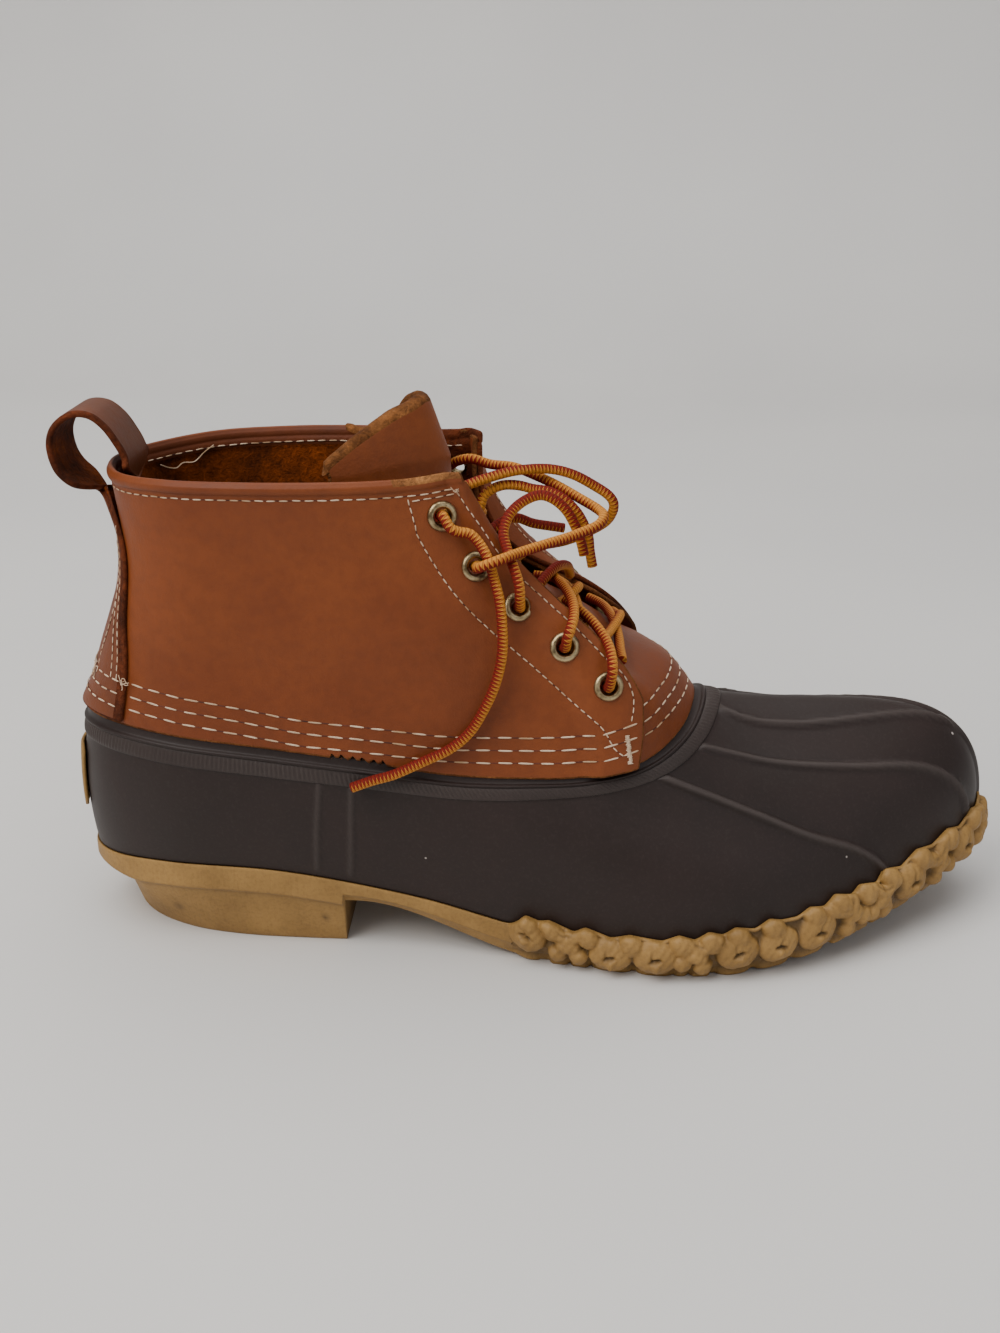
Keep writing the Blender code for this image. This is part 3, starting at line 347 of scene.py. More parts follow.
# Full-grain cowhide, drum dyed and oiled: smooth, warm, with fine pores and a soft pull-up mottling.
def oiledCowhide(name, pale, deep, gloss=0.46):
    mat, shader = newMaterial(name)
    at = addNode(mat, "TexCoord")["Object"]
    broad = noise(mat, at, Scale=16.0, Detail=3.0, Roughness=0.5)
    fine = noise(mat, at, Scale=260.0, Detail=4.0, Roughness=0.6)
    tone = tones(mat, [(0.36, colour(deep)), (0.64, colour(pale))], broad["Fac"])
    mottle = tones(mat, [(0.3, (0.80, 0.78, 0.76, 1)), (0.62, (1, 1, 1, 1))], fine["Fac"])
    mixed = multiply(mat, 0.75, tone["Color"], mottle["Color"])
    wearAndHighlight = addNode(mat, "Attribute", {"attribute_name": "wearAndHighlight"})
    worn = addNode(mat, "Mix", {"data_type": "RGBA", "blend_type": "MULTIPLY", 7: colour("#8A5A40")},
                   {0: wearAndHighlight["Fac"], 6: mixed[2]})
    joinTo(mat, worn[2], shader.inputs["Base Color"])
    rough = addNode(mat, "MapRange", {"To Min": gloss - 0.06, "To Max": gloss + 0.12}, {"Value": fine["Fac"]})
    joinTo(mat, rough["Result"], shader.inputs["Roughness"])
    pores = addNode(mat, "TexVoronoi", {"Scale": 1500.0, "Randomness": 1.0}, {"Vector": at})  # pores 0.7 mm apart
    grain = noise(mat, at, Scale=900.0, Detail=3.0, Roughness=0.6)
    roughen(mat, shader, (0.20, 0.0002, pores["Distance"]), (0.22, 0.0003, grain["Fac"]), (0.12, 0.0010, fine["Fac"]))
    shader.inputs["IOR"].default_value = 1.46
    shader.inputs["Specular IOR Level"].default_value = 0.32
    return mat


# Flesh side of the hide, left napped: matt, with a short brown pile in streaks and paler rubs.
def nappedSuede(name, pale, deep):
    mat, shader = newMaterial(name)
    at = addNode(mat, "TexCoord")["Object"]
    broad = noise(mat, at, Scale=60.0, Detail=6.0, Roughness=0.65)
    pile = noise(mat, at, Scale=1300.0, Detail=2.0)
    tone = tones(mat, [(0.35, colour(deep)), (0.66, colour(pale))], broad["Fac"])
    tufts = noise(mat, at, Scale=420.0, Detail=4.0, Roughness=0.7, Distortion=0.8)
    tips = tones(mat, [(0.35, (0.5, 0.48, 0.45, 1)), (0.68, (1.25, 1.2, 1.1, 1))], tufts["Fac"])
    mixed = multiply(mat, 0.85, tone["Color"], tips["Color"])
    joinTo(mat, mixed[2], shader.inputs["Base Color"])
    roughen(mat, shader, (0.6, 0.0006, pile["Fac"]), (0.8, 0.0010, tufts["Fac"]), (0.5, 0.0016, broad["Fac"]))
    shader.inputs["Roughness"].default_value = 0.95
    shader.inputs["Specular IOR Level"].default_value = 0.15
    return mat


# Compression-moulded natural rubber, dark brown: even satin skin, dusty on top, a few pale specks.
def mouldedRubber(name):
    mat, shader = newMaterial(name)
    at = addNode(mat, "TexCoord")["Object"]
    broad = noise(mat, at, Scale=22.0, Detail=5.0, Roughness=0.6)
    base = tones(mat, [(0.3, colour("#211714")), (0.7, colour("#2A1E1B"))], broad["Fac"])
    dust = noise(mat, at, Scale=900.0, Detail=4.0, Roughness=0.7)
    dustSpread = tones(mat, [(0.5, (0, 0, 0, 1)), (0.9, (0.10, 0.10, 0.10, 1))], dust["Fac"])
    dusty = addNode(mat, "Mix", {"data_type": "RGBA", 7: colour("#6B605C")},
                    {0: dustSpread["Color"], 6: base["Color"]})
    # this attribute lightens the worn band teeth and also paints a highlight along the toe ridges and mould ribs
    wearAndHighlight = addNode(mat, "Attribute", {"attribute_name": "wearAndHighlight"})
    rubbedAndHighlit = addNode(mat, "Mix", {"data_type": "RGBA", 7: colour("#5C534F")}, {0: wearAndHighlight["Fac"], 6: dusty[2]})
    specks = addNode(mat, "TexVoronoi", {"Scale": 75.0}, {"Vector": at})  # a speck each 13 mm or so
    dot = tones(mat, [(0.030, (1, 1, 1, 1)), (0.045, (0, 0, 0, 1))], specks["Distance"])
    few = tones(mat, [(0.72, (0, 0, 0, 1)), (0.75, (1, 1, 1, 1))], specks["Color"])
    shown = addNode(mat, "Math", {"operation": "MULTIPLY"}, {0: dot["Color"], 1: few["Color"]})
    last = addNode(mat, "Mix", {"data_type": "RGBA", 7: colour("#B9AFA8")}, {0: shown["Value"], 6: rubbedAndHighlit[2]})
    joinTo(mat, last[2], shader.inputs["Base Color"])
    rough = addNode(mat, "MapRange", {"To Min": 0.42, "To Max": 0.62}, {"Value": broad["Fac"]})
    joinTo(mat, rough["Result"], shader.inputs["Roughness"])
    roughen(mat, shader, (0.12, 0.0002, dust["Fac"]), (0.20, 0.0012, broad["Fac"]))
    shader.inputs["IOR"].default_value = 1.5
    shader.inputs["Specular IOR Level"].default_value = 0.30
    return mat


# Gum rubber, moulded: honey tan and matt, with fine flow lines up the side, darker in the recesses and at a few
# spots.
def gumRubber(name):
    mat, shader = newMaterial(name)
    at = addNode(mat, "TexCoord")["Object"]
    uv = addNode(mat, "UVMap")["UV"]
    broad = noise(mat, at, Scale=45.0, Detail=5.0, Roughness=0.65)
    fine = noise(mat, at, Scale=900.0, Detail=3.0, Roughness=0.6)
    base = tones(mat, [(0.32, colour("#7F5E2B")), (0.66, colour("#9F793F"))], broad["Fac"])
    speckle = tones(mat, [(0.32, (0.80, 0.78, 0.74, 1)), (0.55, (1, 1, 1, 1))], fine["Fac"])
    mixed = multiply(mat, 0.8, base["Color"], speckle["Color"])
    darkening = addNode(mat, "Attribute", {"attribute_name": "darkening"})
    breakUp = addNode(mat, "MapRange", {"From Min": 0.3, "From Max": 0.65, "To Min": 0.5, "To Max": 1.15},
                      {"Value": broad["Fac"]})
    darkAmount = addNode(mat, "Math", {"operation": "MULTIPLY", "use_clamp": True}, {0: darkening["Fac"], 1: breakUp["Result"]})
    darkened = addNode(mat, "Mix", {"data_type": "RGBA", 7: colour("#4A3517")}, {0: darkAmount["Value"], 6: mixed[2]})
    joinTo(mat, darkened[2], shader.inputs["Base Color"])
    stretched = addNode(mat, "Mapping", {"Scale": (1300.0, 70.0, 1.0)}, {"Vector": uv})  # flow lines 0.8 mm apart
    lines = addNode(mat, "TexNoise", {"Scale": 1.0, "Detail": 2.0, "noise_dimensions": "2D"},
                    {"Vector": stretched["Vector"]})
    roughen(mat, shader, (0.35, 0.0003, lines["Fac"]), (0.3, 0.0002, fine["Fac"]), (0.4, 0.0012, broad["Fac"]))
    shader.inputs["Roughness"].default_value = 0.62
    shader.inputs["IOR"].default_value = 1.5
    return mat


# Braided polyester round lace in two colours: gold on one half, rust on the other, meeting in saw teeth.
def braidedLace(name, gold="#C98432", rust="#74190A"):
    mat, shader = newMaterial(name)
    uv = addNode(mat, "UVMap")["UV"]  # u once round from 0 to 1, v in braid stitches
    parts = addNode(mat, "SeparateXYZ", {}, {"Vector": uv})
    folded = addNode(mat, "Math", {"operation": "PINGPONG", 1: 0.5}, {0: parts["X"]})
    tooth = addNode(mat, "Math", {"operation": "PINGPONG", 1: 0.5}, {0: parts["Y"]})
    swing = addNode(mat, "Math", {"operation": "MULTIPLY_ADD", 1: 0.52, 2: -0.13}, {0: tooth["Value"]})
    edge = addNode(mat, "Math", {"operation": "ADD"}, {0: folded["Value"], 1: swing["Value"]})
    side = tones(mat, [(0.235, colour(rust)), (0.265, colour(gold))], edge["Value"])
    slope = addNode(mat, "Math", {"operation": "MULTIPLY_ADD", 1: 2.0}, {0: folded["Value"], 2: parts["Y"]})
    lump = addNode(mat, "Math", {"operation": "PINGPONG", 1: 0.5}, {0: slope["Value"]})
    # painted shade in the narrow hollows between the braid's strands
    darkInHollows = tones(mat, [(0.02, (0.35, 0.30, 0.28, 1)), (0.2, (1, 1, 1, 1))], lump["Value"])
    mixed = multiply(mat, 0.85, side["Color"], darkInHollows["Color"])
    at = addNode(mat, "TexCoord")["Object"]
    fine = noise(mat, at, Scale=2200.0, Detail=2.0)
    fibre = tones(mat, [(0.3, (0.72, 0.70, 0.68, 1)), (0.65, (1.08, 1.06, 1.04, 1))], fine["Fac"])
    tinted = multiply(mat, 0.8, mixed[2], fibre["Color"])
    joinTo(mat, tinted[2], shader.inputs["Base Color"])
    roughen(mat, shader, (0.7, 0.0003, lump["Value"]), (0.4, 0.0001, fine["Fac"]))
    shader.inputs["Roughness"].default_value = 0.75
    shader.inputs["Specular IOR Level"].default_value = 0.2
    return mat


# Bonded sewing thread: off-white, a little grubby, with a fine twist.
def sewingThread(name, pale, deep):
    mat, shader = newMaterial(name)
    at = addNode(mat, "TexCoord")["Object"]
    grub = noise(mat, at, Scale=120.0, Detail=3.0)
    tone = tones(mat, [(0.3, colour(deep)), (0.6, colour(pale))], grub["Fac"])
    joinTo(mat, tone["Color"], shader.inputs["Base Color"])
    twist = noise(mat, at, Scale=3000.0, Detail=1.0)
    roughen(mat, shader, (0.5, 0.0001, twist["Fac"]))
    shader.inputs["Roughness"].default_value = 0.8
    return mat


# Spun brass with an antique finish: brown in the turn of the rim, bright where it is rubbed.
def antiqueBrass(name):
    mat, shader = newMaterial(name)
    at = addNode(mat, "TexCoord")["Object"]
    patina = noise(mat, at, Scale=420.0, Detail=4.0, Roughness=0.6)
    tone = tones(mat, [(0.32, colour("#6A573C")), (0.6, colour("#B5A27C"))], patina["Fac"])
    joinTo(mat, tone["Color"], shader.inputs["Base Color"])
    rough = addNode(mat, "MapRange", {"To Min": 0.22, "To Max": 0.5}, {"Value": patina["Fac"]})
    joinTo(mat, rough["Result"], shader.inputs["Roughness"])
    roughen(mat, shader, (0.2, 0.0002, patina["Fac"]))
    shader.inputs["Metallic"].default_value = 1.0
    return mat


# Needled wool felt: matt grey-brown with short crossing fibres.
def needledFelt(name):
    mat, shader = newMaterial(name)
    at = addNode(mat, "TexCoord")["Object"]
    fluff = noise(mat, at, Scale=800.0, Detail=5.0, Roughness=0.7, Distortion=1.2)
    tone = tones(mat, [(0.3, colour("#2C241D")), (0.7, colour("#5A4B3E"))], fluff["Fac"])
    joinTo(mat, tone["Color"], shader.inputs["Base Color"])
    roughen(mat, shader, (0.7, 0.0006, fluff["Fac"]))
    shader.inputs["Roughness"].default_value = 1.0
    return mat


cowhide = oiledCowhide("oiledCowhideTan", "#7F401A", "#6E3413", 0.5)
strapHide = oiledCowhide("oiledCowhideBrown", "#6E381A", "#552910", 0.52)
facingHide = oiledCowhide("oiledCowhideFacing", "#7A3B18", "#592A11", 0.6)
suede = nappedSuede("nappedSuedeBrown", "#843F0E", "#401B05")
rimSuede = nappedSuede("nappedSuedeRim", "#8C5A32", "#4E2C15")
rawEdge = nappedSuede("rawCutEdge", "#865430", "#4C2A14")
paleEdge = nappedSuede("paleCutEdge", "#A87446", "#74472A")
# dark cut-edge suede, also laid over the far flap's inside as painted shade
darkEdgeAndShade = nappedSuede("darkCutEdgeAndShade", "#74391F", "#3C1D10")
rubber = mouldedRubber("mouldedRubberBrown")
gum = gumRubber("gumRubberTan")
lacing = braidedLace("braidedPolyesterLace")
paleThread = sewingThread("bondedThreadOffWhite", "#D2B99E", "#A1815F")
# the dark thread is painted shade where the stitches dive into their holes
stitchHoleShade = sewingThread("paintedStitchHoleShade", "#5A2612", "#331307")
brass = antiqueBrass("antiqueSpunBrass")
felt = needledFelt("needledWoolFelt")


def dress(piece, mats, replaces=()):
    for mat in mats:
        piece.data.materials.append(mat)
    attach(piece, "root")
    if replaces:
        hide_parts(*replaces)


print("materials made")


# Where the quarters, the vamp and the eyelets lie
def lapOut(station):
    return ease(frontDistance(station), leather["lapStart"], leather["lapEnd"]) * leather["lap"]


tongueSize = {"spread": 2.65, "topSpread": 5.0, "room": 5.6 * mm, "tip": 66.5 * mm, "depth": 33 * mm,
              "half": 28 * mm, "rise": 17.5 * mm, "lean": 0.35, "point": 1.7, "fall": 0.9, "turn": 75,
              "thick": 1.6 * mm}


def tonguePlan(part):
    turn = math.radians(tongueSize["turn"])
    aside = tongueSize["half"] * np.sin(part * turn) / math.sin(turn)
    along = tongueSize["tip"] - tongueSize["depth"] * np.abs(aside / tongueSize["half"]) ** tongueSize["point"]
    return np.stack([along, aside, along * 0], axis=-1)


def tongueSpread(share):
    return tongueSize["spread"] + ease(share, 0.3, 1.0) * (tongueSize["topSpread"] - tongueSize["spread"])


def tonguePlace(share, part, off):
    share, part, off = np.broadcast_arrays(*(np.asarray(v, dtype=float) for v in (share, part, off)))
    fold = ease(share, 0.45, 1.0)[..., None]
    place = surfaceAt(shaftForm, 10 + part * tongueSpread(share), share,
                      off - ease(share, 0.1, 0.28) * tongueSize["room"])
    way = tonguePlan(part + 0.01) - tonguePlan(part - 0.01)
    aim = tonguePlan(part) + unit(np.stack([way[..., 1], -way[..., 0], way[..., 0] * 0], axis=-1)) * off[..., None]
    aim[..., 2] = place[..., 2]
    return place * (1 - fold) + aim * fold


eyeletSpots = [(6.51, 0.882), (6.76, 0.712), (7.08, 0.561), (7.30, 0.402), (7.56, 0.253)]


def eyeletFrame(number, medial=False):
    station, share = eyeletSpots[number]
    if medial:
        station = 20 - station
    off = leather["proud"] + lapOut(station)
    centre = surfaceAt(shaftForm, station, share, off)
    return centre, unit(surfaceAt(shaftForm, station, share, off + mm) - centre)


# Laces: the routes of the solids in shares of the boot's sizes, run on through the eyelets
laceSize = {"diameter": 3.2 * mm, "braid": 1.2 * mm, "sides": 14, "step": 0.4 * mm}
laceRoutes = {
    "laceEndLong": {"eyelet": 0, "spots": [
        (0.415, -0.346, 0.914), (0.423, -0.341, 0.906), (0.434, -0.338, 0.901), (0.444, -0.347, 0.882),
        (0.452, -0.368, 0.858), (0.457, -0.363, 0.823), (0.463, -0.382, 0.782), (0.466, -0.395, 0.731),
        (0.466, -0.402, 0.676), (0.460, -0.405, 0.620), (0.449, -0.408, 0.567), (0.434, -0.408, 0.516),
        (0.414, -0.414, 0.481), (0.388, -0.419, 0.455), (0.358, -0.428, 0.428), (0.334, -0.430, 0.413),
        (0.313, -0.427, 0.396)], "gold": [(1, 0.1, 0.7), (1, 0.1, 0), (1, 0.0, -0.3)], "far": "bare",
        "node": "lace_end_long"},
    "laceLoopOuter": {"spots": [
        (0.414, -0.137, 0.950), (0.422, -0.127, 0.957), (0.443, -0.108, 0.970), (0.473, -0.078, 0.982),
        (0.505, -0.039, 0.981), (0.531, -0.020, 0.968), (0.555, 0.000, 0.941), (0.571, 0.000, 0.919),
        (0.575, 0.010, 0.895), (0.568, 0.029, 0.864), (0.549, 0.059, 0.835), (0.525, 0.098, 0.808),
        (0.503, 0.137, 0.791)], "gold": [(0, -0.7, -0.7), (-0.6, -0.3, -0.6), (-0.6, -0.2, -0.6)], "far": "object",
        "node": "lace_loop_outer"},
    "laceLoopInner": {"eyelet": 1, "last": True, "spots": [
        (0.403, 0.078, 0.966), (0.412, 0.059, 0.979), (0.427, 0.039, 0.987), (0.447, 0.029, 0.978),
        (0.471, 0.010, 0.976), (0.496, -0.010, 0.961), (0.515, -0.029, 0.947), (0.539, -0.059, 0.926),
        (0.558, -0.088, 0.909), (0.564, -0.135, 0.903), (0.557, -0.180, 0.892), (0.532, -0.226, 0.879),
        (0.507, -0.275, 0.872), (0.482, -0.330, 0.865), (0.464, -0.382, 0.861), (0.450, -0.392, 0.852),
        (0.442, -0.373, 0.842)], "gold": [(0, 0.7, 1), (-0.3, 0.2, 0.8), (0, -0.05, 1)], "far": "object",
        "node": "lace_loop_inner"},
    "laceEndGold": {"spots": [
        (0.436, -0.098, 0.895), (0.439, -0.098, 0.915), (0.444, -0.088, 0.937), (0.459, -0.078, 0.952),
        (0.476, -0.069, 0.952), (0.492, -0.069, 0.945), (0.508, -0.085, 0.943), (0.523, -0.100, 0.931),
        (0.535, -0.105, 0.910), (0.543, -0.105, 0.886), (0.549, -0.105, 0.857), (0.551, -0.105, 0.826),
        (0.554, -0.105, 0.795)], "gold": [(0.6, -0.2, 0.6), (-0.2, -0.3, -1), (-1, -0.6, 0)], "far": "bare",
        "node": "lace_end_gold"},
    "laceEndRed": {"eyelet": 2, "spots": [
        (0.483, -0.348, 0.761), (0.483, -0.373, 0.784), (0.482, -0.376, 0.812), (0.476, -0.350, 0.842),
        (0.469, -0.305, 0.868), (0.465, -0.265, 0.893), (0.470, -0.222, 0.919), (0.483, -0.180, 0.938),
        (0.499, -0.155, 0.947), (0.513, -0.155, 0.940), (0.526, -0.158, 0.919), (0.535, -0.158, 0.889),
        (0.541, -0.158, 0.859), (0.545, -0.158, 0.829)], "gold": [(1, 0.1, 0), (0.6, 0.1, -0.8), (-0.9, 0.1, -0.3)],
        "far": "bare", "node": "lace_end_red"},
    "laceRunBack": {"spots": [
        (0.438, -0.098, 0.844), (0.446, -0.078, 0.857), (0.461, -0.039, 0.873), (0.475, -0.010, 0.875),
        (0.491, 0.010, 0.861), (0.508, 0.020, 0.854), (0.524, 0.029, 0.848)],
        "gold": [(0, 0.5, -1), (0, 0.5, -1), (0, 0.5, -1)]},
    "laceRunThree": {"spots": [
        (0.491, -0.216, 0.751), (0.498, -0.206, 0.769), (0.507, -0.147, 0.782), (0.518, -0.069, 0.787),
        (0.528, 0.010, 0.772), (0.531, 0.078, 0.740)], "gold": [(0, 0, -1), (0, 0, -1), (0, 0, -1)]},
    "laceRunFour": {"eyelet": 3, "spots": [
        (0.530, -0.382, 0.708), (0.534, -0.363, 0.730), (0.536, -0.314, 0.745), (0.533, -0.245, 0.758),
        (0.525, -0.167, 0.766), (0.515, -0.088, 0.768)], "gold": [(1, 0.1, 0), (1, 0.1, 0.3), (1, 0, 0.5)]},
    "laceRunFive": {"eyelet": 4, "spots": [
        (0.575, -0.392, 0.643), (0.574, -0.363, 0.668), (0.569, -0.314, 0.687), (0.557, -0.255, 0.708),
        (0.542, -0.196, 0.723), (0.527, -0.137, 0.731)], "gold": [(1, 0.1, 0), (1, 0.2, 0.3), (1, 0, 0.5)]},
}


def laceTube(name, line, goldWays):
    # a tube along the line; gold ways say where the gold half faces at the start, middle and end
    line, run = evenSteps(line, laceSize["step"])
    way = unit(np.gradient(line, axis=0))
    along = np.linspace(0, 1, len(line))
    aim = np.stack([np.interp(along, np.linspace(0, 1, len(goldWays)), np.array(goldWays, dtype=float)[:, axis])
                    for axis in range(3)], axis=-1)
    first = unit(aim - way * (aim * way).sum(-1, keepdims=True))
    second = np.cross(way, first)
    turns = np.linspace(0, 1, laceSize["sides"] + 1)
    share, beat = turns[None, :], run[:, None] / laceSize["braid"]
    fold = np.abs(np.mod(share + 0.5, 1) - 0.5)
    lump = np.abs(np.mod(beat + fold * 2, 1) - 0.5) * 2
    radius = laceSize["diameter"] / 2 * (0.96 + 0.05 * np.sqrt(np.clip(1 - lump ** 2, 0, 1)))
    angle = (share + 0.5) * 2 * math.pi
    places = (line[:, None] + first[:, None] * (np.cos(angle) * radius)[..., None]
              + second[:, None] * (np.sin(angle) * radius)[..., None])
    caps = [(0.86, 0.0), (0.5, 0.05), (0.0, 0.06)]
    for end, sign in ((0, -1), (-1, 1)):
        centre = places[end, :-1].mean(axis=0)
        rings = [centre + (places[end] - centre) * size + way[end] * sign * push * laceSize["diameter"]
                 for size, push in caps]
        places = np.concatenate([rings[::-1], places] if end == 0 else [places, rings])
    beats = np.concatenate([[0] * 3, run, [run[-1]] * 3])[:, None] / laceSize["braid"]
    return layGrid(name, places, uv=(turns[None, :] + beats * 0, beats + turns[None, :] * 0))


sizes = np.array([bootSize["length"], bootSize["ballWidth"], bootSize["shaftHeight"]])
for name, route in laceRoutes.items():
    spots = np.array(route["spots"]) * sizes - (bootSize["backReach"], 0, 0)
    if "eyelet" in route:
        centre, normal = eyeletFrame(route["eyelet"])
        inside = centre - normal * 5.5 * mm + np.array([4 * mm, 1.5 * mm, 0])
        hole = np.array([inside, centre - normal * 2.2 * mm, centre + normal * 1.2 * mm])
        spots = np.vstack([spots, hole[::-1]]) if route.get("last") else np.vstack([hole, spots])
    line = throughPoints(spots, 12)
    piece = laceTube(name, line, route["gold"])
    dress(piece, [lacing], [route["node"]] if "node" in route else [])
    line, run = evenSteps(line, 1.5 * mm)
    print("lace", name, round(float(run[-1]) * 1000), "mm")

crossShares = [(0.285, 0.372), (0.435, 0.53), (0.595, 0.68), (0.745, 0.845)]
for number, (low, high) in enumerate(crossShares):
    for over, (start, end) in enumerate(((low, high), (high, low))):
        part = np.linspace(-1, 1, 41)
        share = start + (end - start) * (part + 1) / 2
        hump = over * 0.9 * laceSize["diameter"] * np.exp(-(part / 0.3) ** 2)
        off = leather["proud"] + 1.05 * mm + laceSize["diameter"] / 2 + hump
        line = tonguePlace(share, part * 1.58 / tongueSpread(share), off)
        piece = laceTube(f"laceCross{number + 1}{'ab'[over]}", line, [(1, 0.1, 0.3)] * 3)
        dress(piece, [lacing], [f"lace_cross_{number + 1}"] if over == 0 else [])
print("laces run")


# Rubber lower: one moulded shell with a bead, raised toe ridges and two mould ribs behind the ball
shell = {"wall": 2.2 * mm, "bandDepth": 10.5 * mm, "flangeHeight": 9 * mm,
         "ridgeRaise": 1.4 * mm, "ridgeHalf": 2.0 * mm, "ribRaise": 0.7 * mm, "ribHalf": 1.3 * mm,
         "groove": 0.8 * mm, "grooveHalf": 0.65 * mm}
# each ridge: rows of (station, share), from the band down to the sole
toeRidges = [
    [(9.86, 1.0), (9.5, 0.86), (9.45, 0.69), (9.59, 0.51), (9.85, 0.34), (10.0, 0.22), (10.0, 0.0)],
    [(8.79, 0.95), (8.825, 0.815), (8.79, 0.677), (8.825, 0.45), (8.963, 0.295), (9.062, 0.182), (9.175, 0.068)],
    [(7.85, 0.907), (7.888, 0.733), (7.863, 0.547), (7.825, 0.352), (7.925, 0.185), (7.975, 0.068), (7.963, 0.0)]]
# the band's ground and the bead over it: how far below the top and how proud, in mm
beadProfile = [(10.3, 0.05), (10.1, 0.35), (9.8, 0.45), (7.6, 0.45), (5.4, 0.45), (5.1, 0.5), (4.9, 0.85),
               (4.6, 1.1), (4.2, 1.15), (3.9, 1.0), (3.65, 0.55), (3.4, 0.2), (3.1, 0.05), (2.2, 0.0), (1.2, 0.0),
               (0.5, 0.0)]
# the flange under the leather: share of its height and how proud, in mm
flangeProfile = [(0.02, -1.0), (0.3, -1.25), (0.7, -1.3), (1.0, -1.35), (1.0, -2.0), (1.0, -2.6), (0.5, -2.7),
                 (0.1, -2.7)]
mouldRibs = [[(3.463, 0.83), (3.338, 0.44), (3.238, 0.0)], [(3.775, 0.82), (3.638, 0.485), (3.488, 0.0)]]


def nearLine(places, line):
    # shortest way from each place to a line of points
    best = np.full(places.shape[:-1], 1.0)
    for a, b in zip(line[:-1], line[1:]):
        ab = b - a
        t = np.clip(((places - a) @ ab) / (ab @ ab), 0, 1)
        best = np.minimum(best, np.linalg.norm(places - a - t[..., None] * ab, axis=-1))
    return best


def makeShell():
    station = evenStations(edgeLoop, 0, 20, 721)
    length = lengthAt(rubberForm, station)
    band = 1 - shell["bandDepth"] / length
    share = np.linspace(0, 1, 64)[:, None] * band
    body = surfaceAt(rubberForm, station, share)
    # a paler line along each toe ridge and mould rib is painted highlight
    lift, rubbedAndHighlit = np.zeros(body.shape[:2]), np.zeros(body.shape[:2])
    for rows in toeRidges:
        for mirror in (False, True):
            points = np.array([((20 - s) if mirror else s, v) for s, v in rows])
            fine = throughPoints(points, 8)
            line = surfaceAt(rubberForm, fine[:, 0], fine[:, 1])
            upper = unit(np.cross(surfaceAt(rubberForm, fine[:, 0], fine[:, 1], mm) - line,
                                  np.gradient(line, axis=0)))
            upper = line + upper * (-1 if mirror else 1) * shell["ridgeHalf"] * 0.95
            gap = nearLine(body, line)
            flank = ease(gap, shell["ridgeHalf"] * 0.3, shell["ridgeHalf"])
            lift = np.maximum(lift, shell["ridgeRaise"] * (1 - flank))
            lift -= shell["groove"] * np.exp(-(nearLine(body, upper) / shell["grooveHalf"]) ** 2)
            rubbedAndHighlit = np.maximum(rubbedAndHighlit, 0.32 * (1 - ease(gap, 0.3 * mm, shell["ridgeHalf"] * 0.75)))
    for rows in mouldRibs:
        fine = throughPoints(np.array(rows), 8)
        gap = nearLine(body, surfaceAt(rubberForm, fine[:, 0], fine[:, 1]))
        lift = np.maximum(lift, shell["ribRaise"] * (1 - ease(gap, 0.2 * mm, shell["ribHalf"])))
        rubbedAndHighlit = np.maximum(rubbedAndHighlit, 0.20 * (1 - ease(gap, 0.2 * mm, shell["ribHalf"])))
    fade = ease(share * length, 1 * mm, 6 * mm) * (1 - ease(share / band, 0.97, 1.0) * 0.5)
    lift *= fade
    rings = list(surfaceAt(rubberForm, station, share, lift))
    for drop, off in beadProfile:
        rings.append(surfaceAt(rubberForm, station, 1 - drop * mm / length, off * mm))
    rings.append(surfaceAt(rubberForm, station, 1.0, -0.3 * mm))
    flange = shell["flangeHeight"] / lengthAt(shaftForm, station)
    for share, off in flangeProfile:
        rings.append(surfaceAt(shaftForm, station, flange * share, off * mm))
    for share in np.linspace(0.9, 0.0, 14):
        rings.append(surfaceAt(rubberForm, station, share, -shell["wall"]))
    rings.append(rings[0])
    places = np.array(rings)
    places[:, -1] = places[:, 0]
    # the painted ridge highlight shares one attribute with the band's wear
    wearAndHighlight = np.zeros(places.shape[:2])
    wearAndHighlight[:len(rubbedAndHighlit)] = rubbedAndHighlit * fade
    piece = layGrid("rubberShell", places, marks={"wearAndHighlight": wearAndHighlight})
    dress(piece, [rubber], ["rubber_shell"])


makeShell()
bandSize = {"pitch": 1.42 * mm, "raise": 0.5 * mm, "top": 5.3 * mm, "bottom": 10.0 * mm}


def makeBand():
    # the ribbed band round the shell's top: small upright teeth, worn lower here and there
    run = np.linalg.norm(np.diff(smooth(jointLoop, np.linspace(0, 20, 2001)), axis=0), axis=1).sum()
    teeth = int(round(run / bandSize["pitch"]))
    station = evenStations(jointLoop, 0, 20, teeth * 4 + 1)
    length = lengthAt(rubberForm, station)
    beat = np.arange(teeth * 4 + 1) / 4
    worn = 0.75 + 0.25 * np.sin(beat * 0.11 + 0.6) * np.sin(beat * 0.043)
    tooth = bandSize["raise"] * worn * np.abs(np.cos(beat * math.pi)) ** 0.8
    drops = np.linspace(bandSize["bottom"], bandSize["top"], 8)[:, None]
    window = np.sin(np.linspace(0, 1, 8) * math.pi)[:, None] ** 0.5
    outer = surfaceAt(rubberForm, station, 1 - drops / length, 0.5 * mm + tooth * window)
    inner = surfaceAt(rubberForm, station, 1 - drops[[0, 1, 6, 7]] / length, 0.15 * mm)
    places, slots = wrapSheet(outer, inner, around=True)
    places[:, -1] = places[:, 0]
    piece = layGrid("ribbedBand", places, marks={"wearAndHighlight": np.broadcast_to(0.25 * worn, places.shape[:2])})
    dress(piece, [rubber])


makeBand()
print("rubber lower moulded")


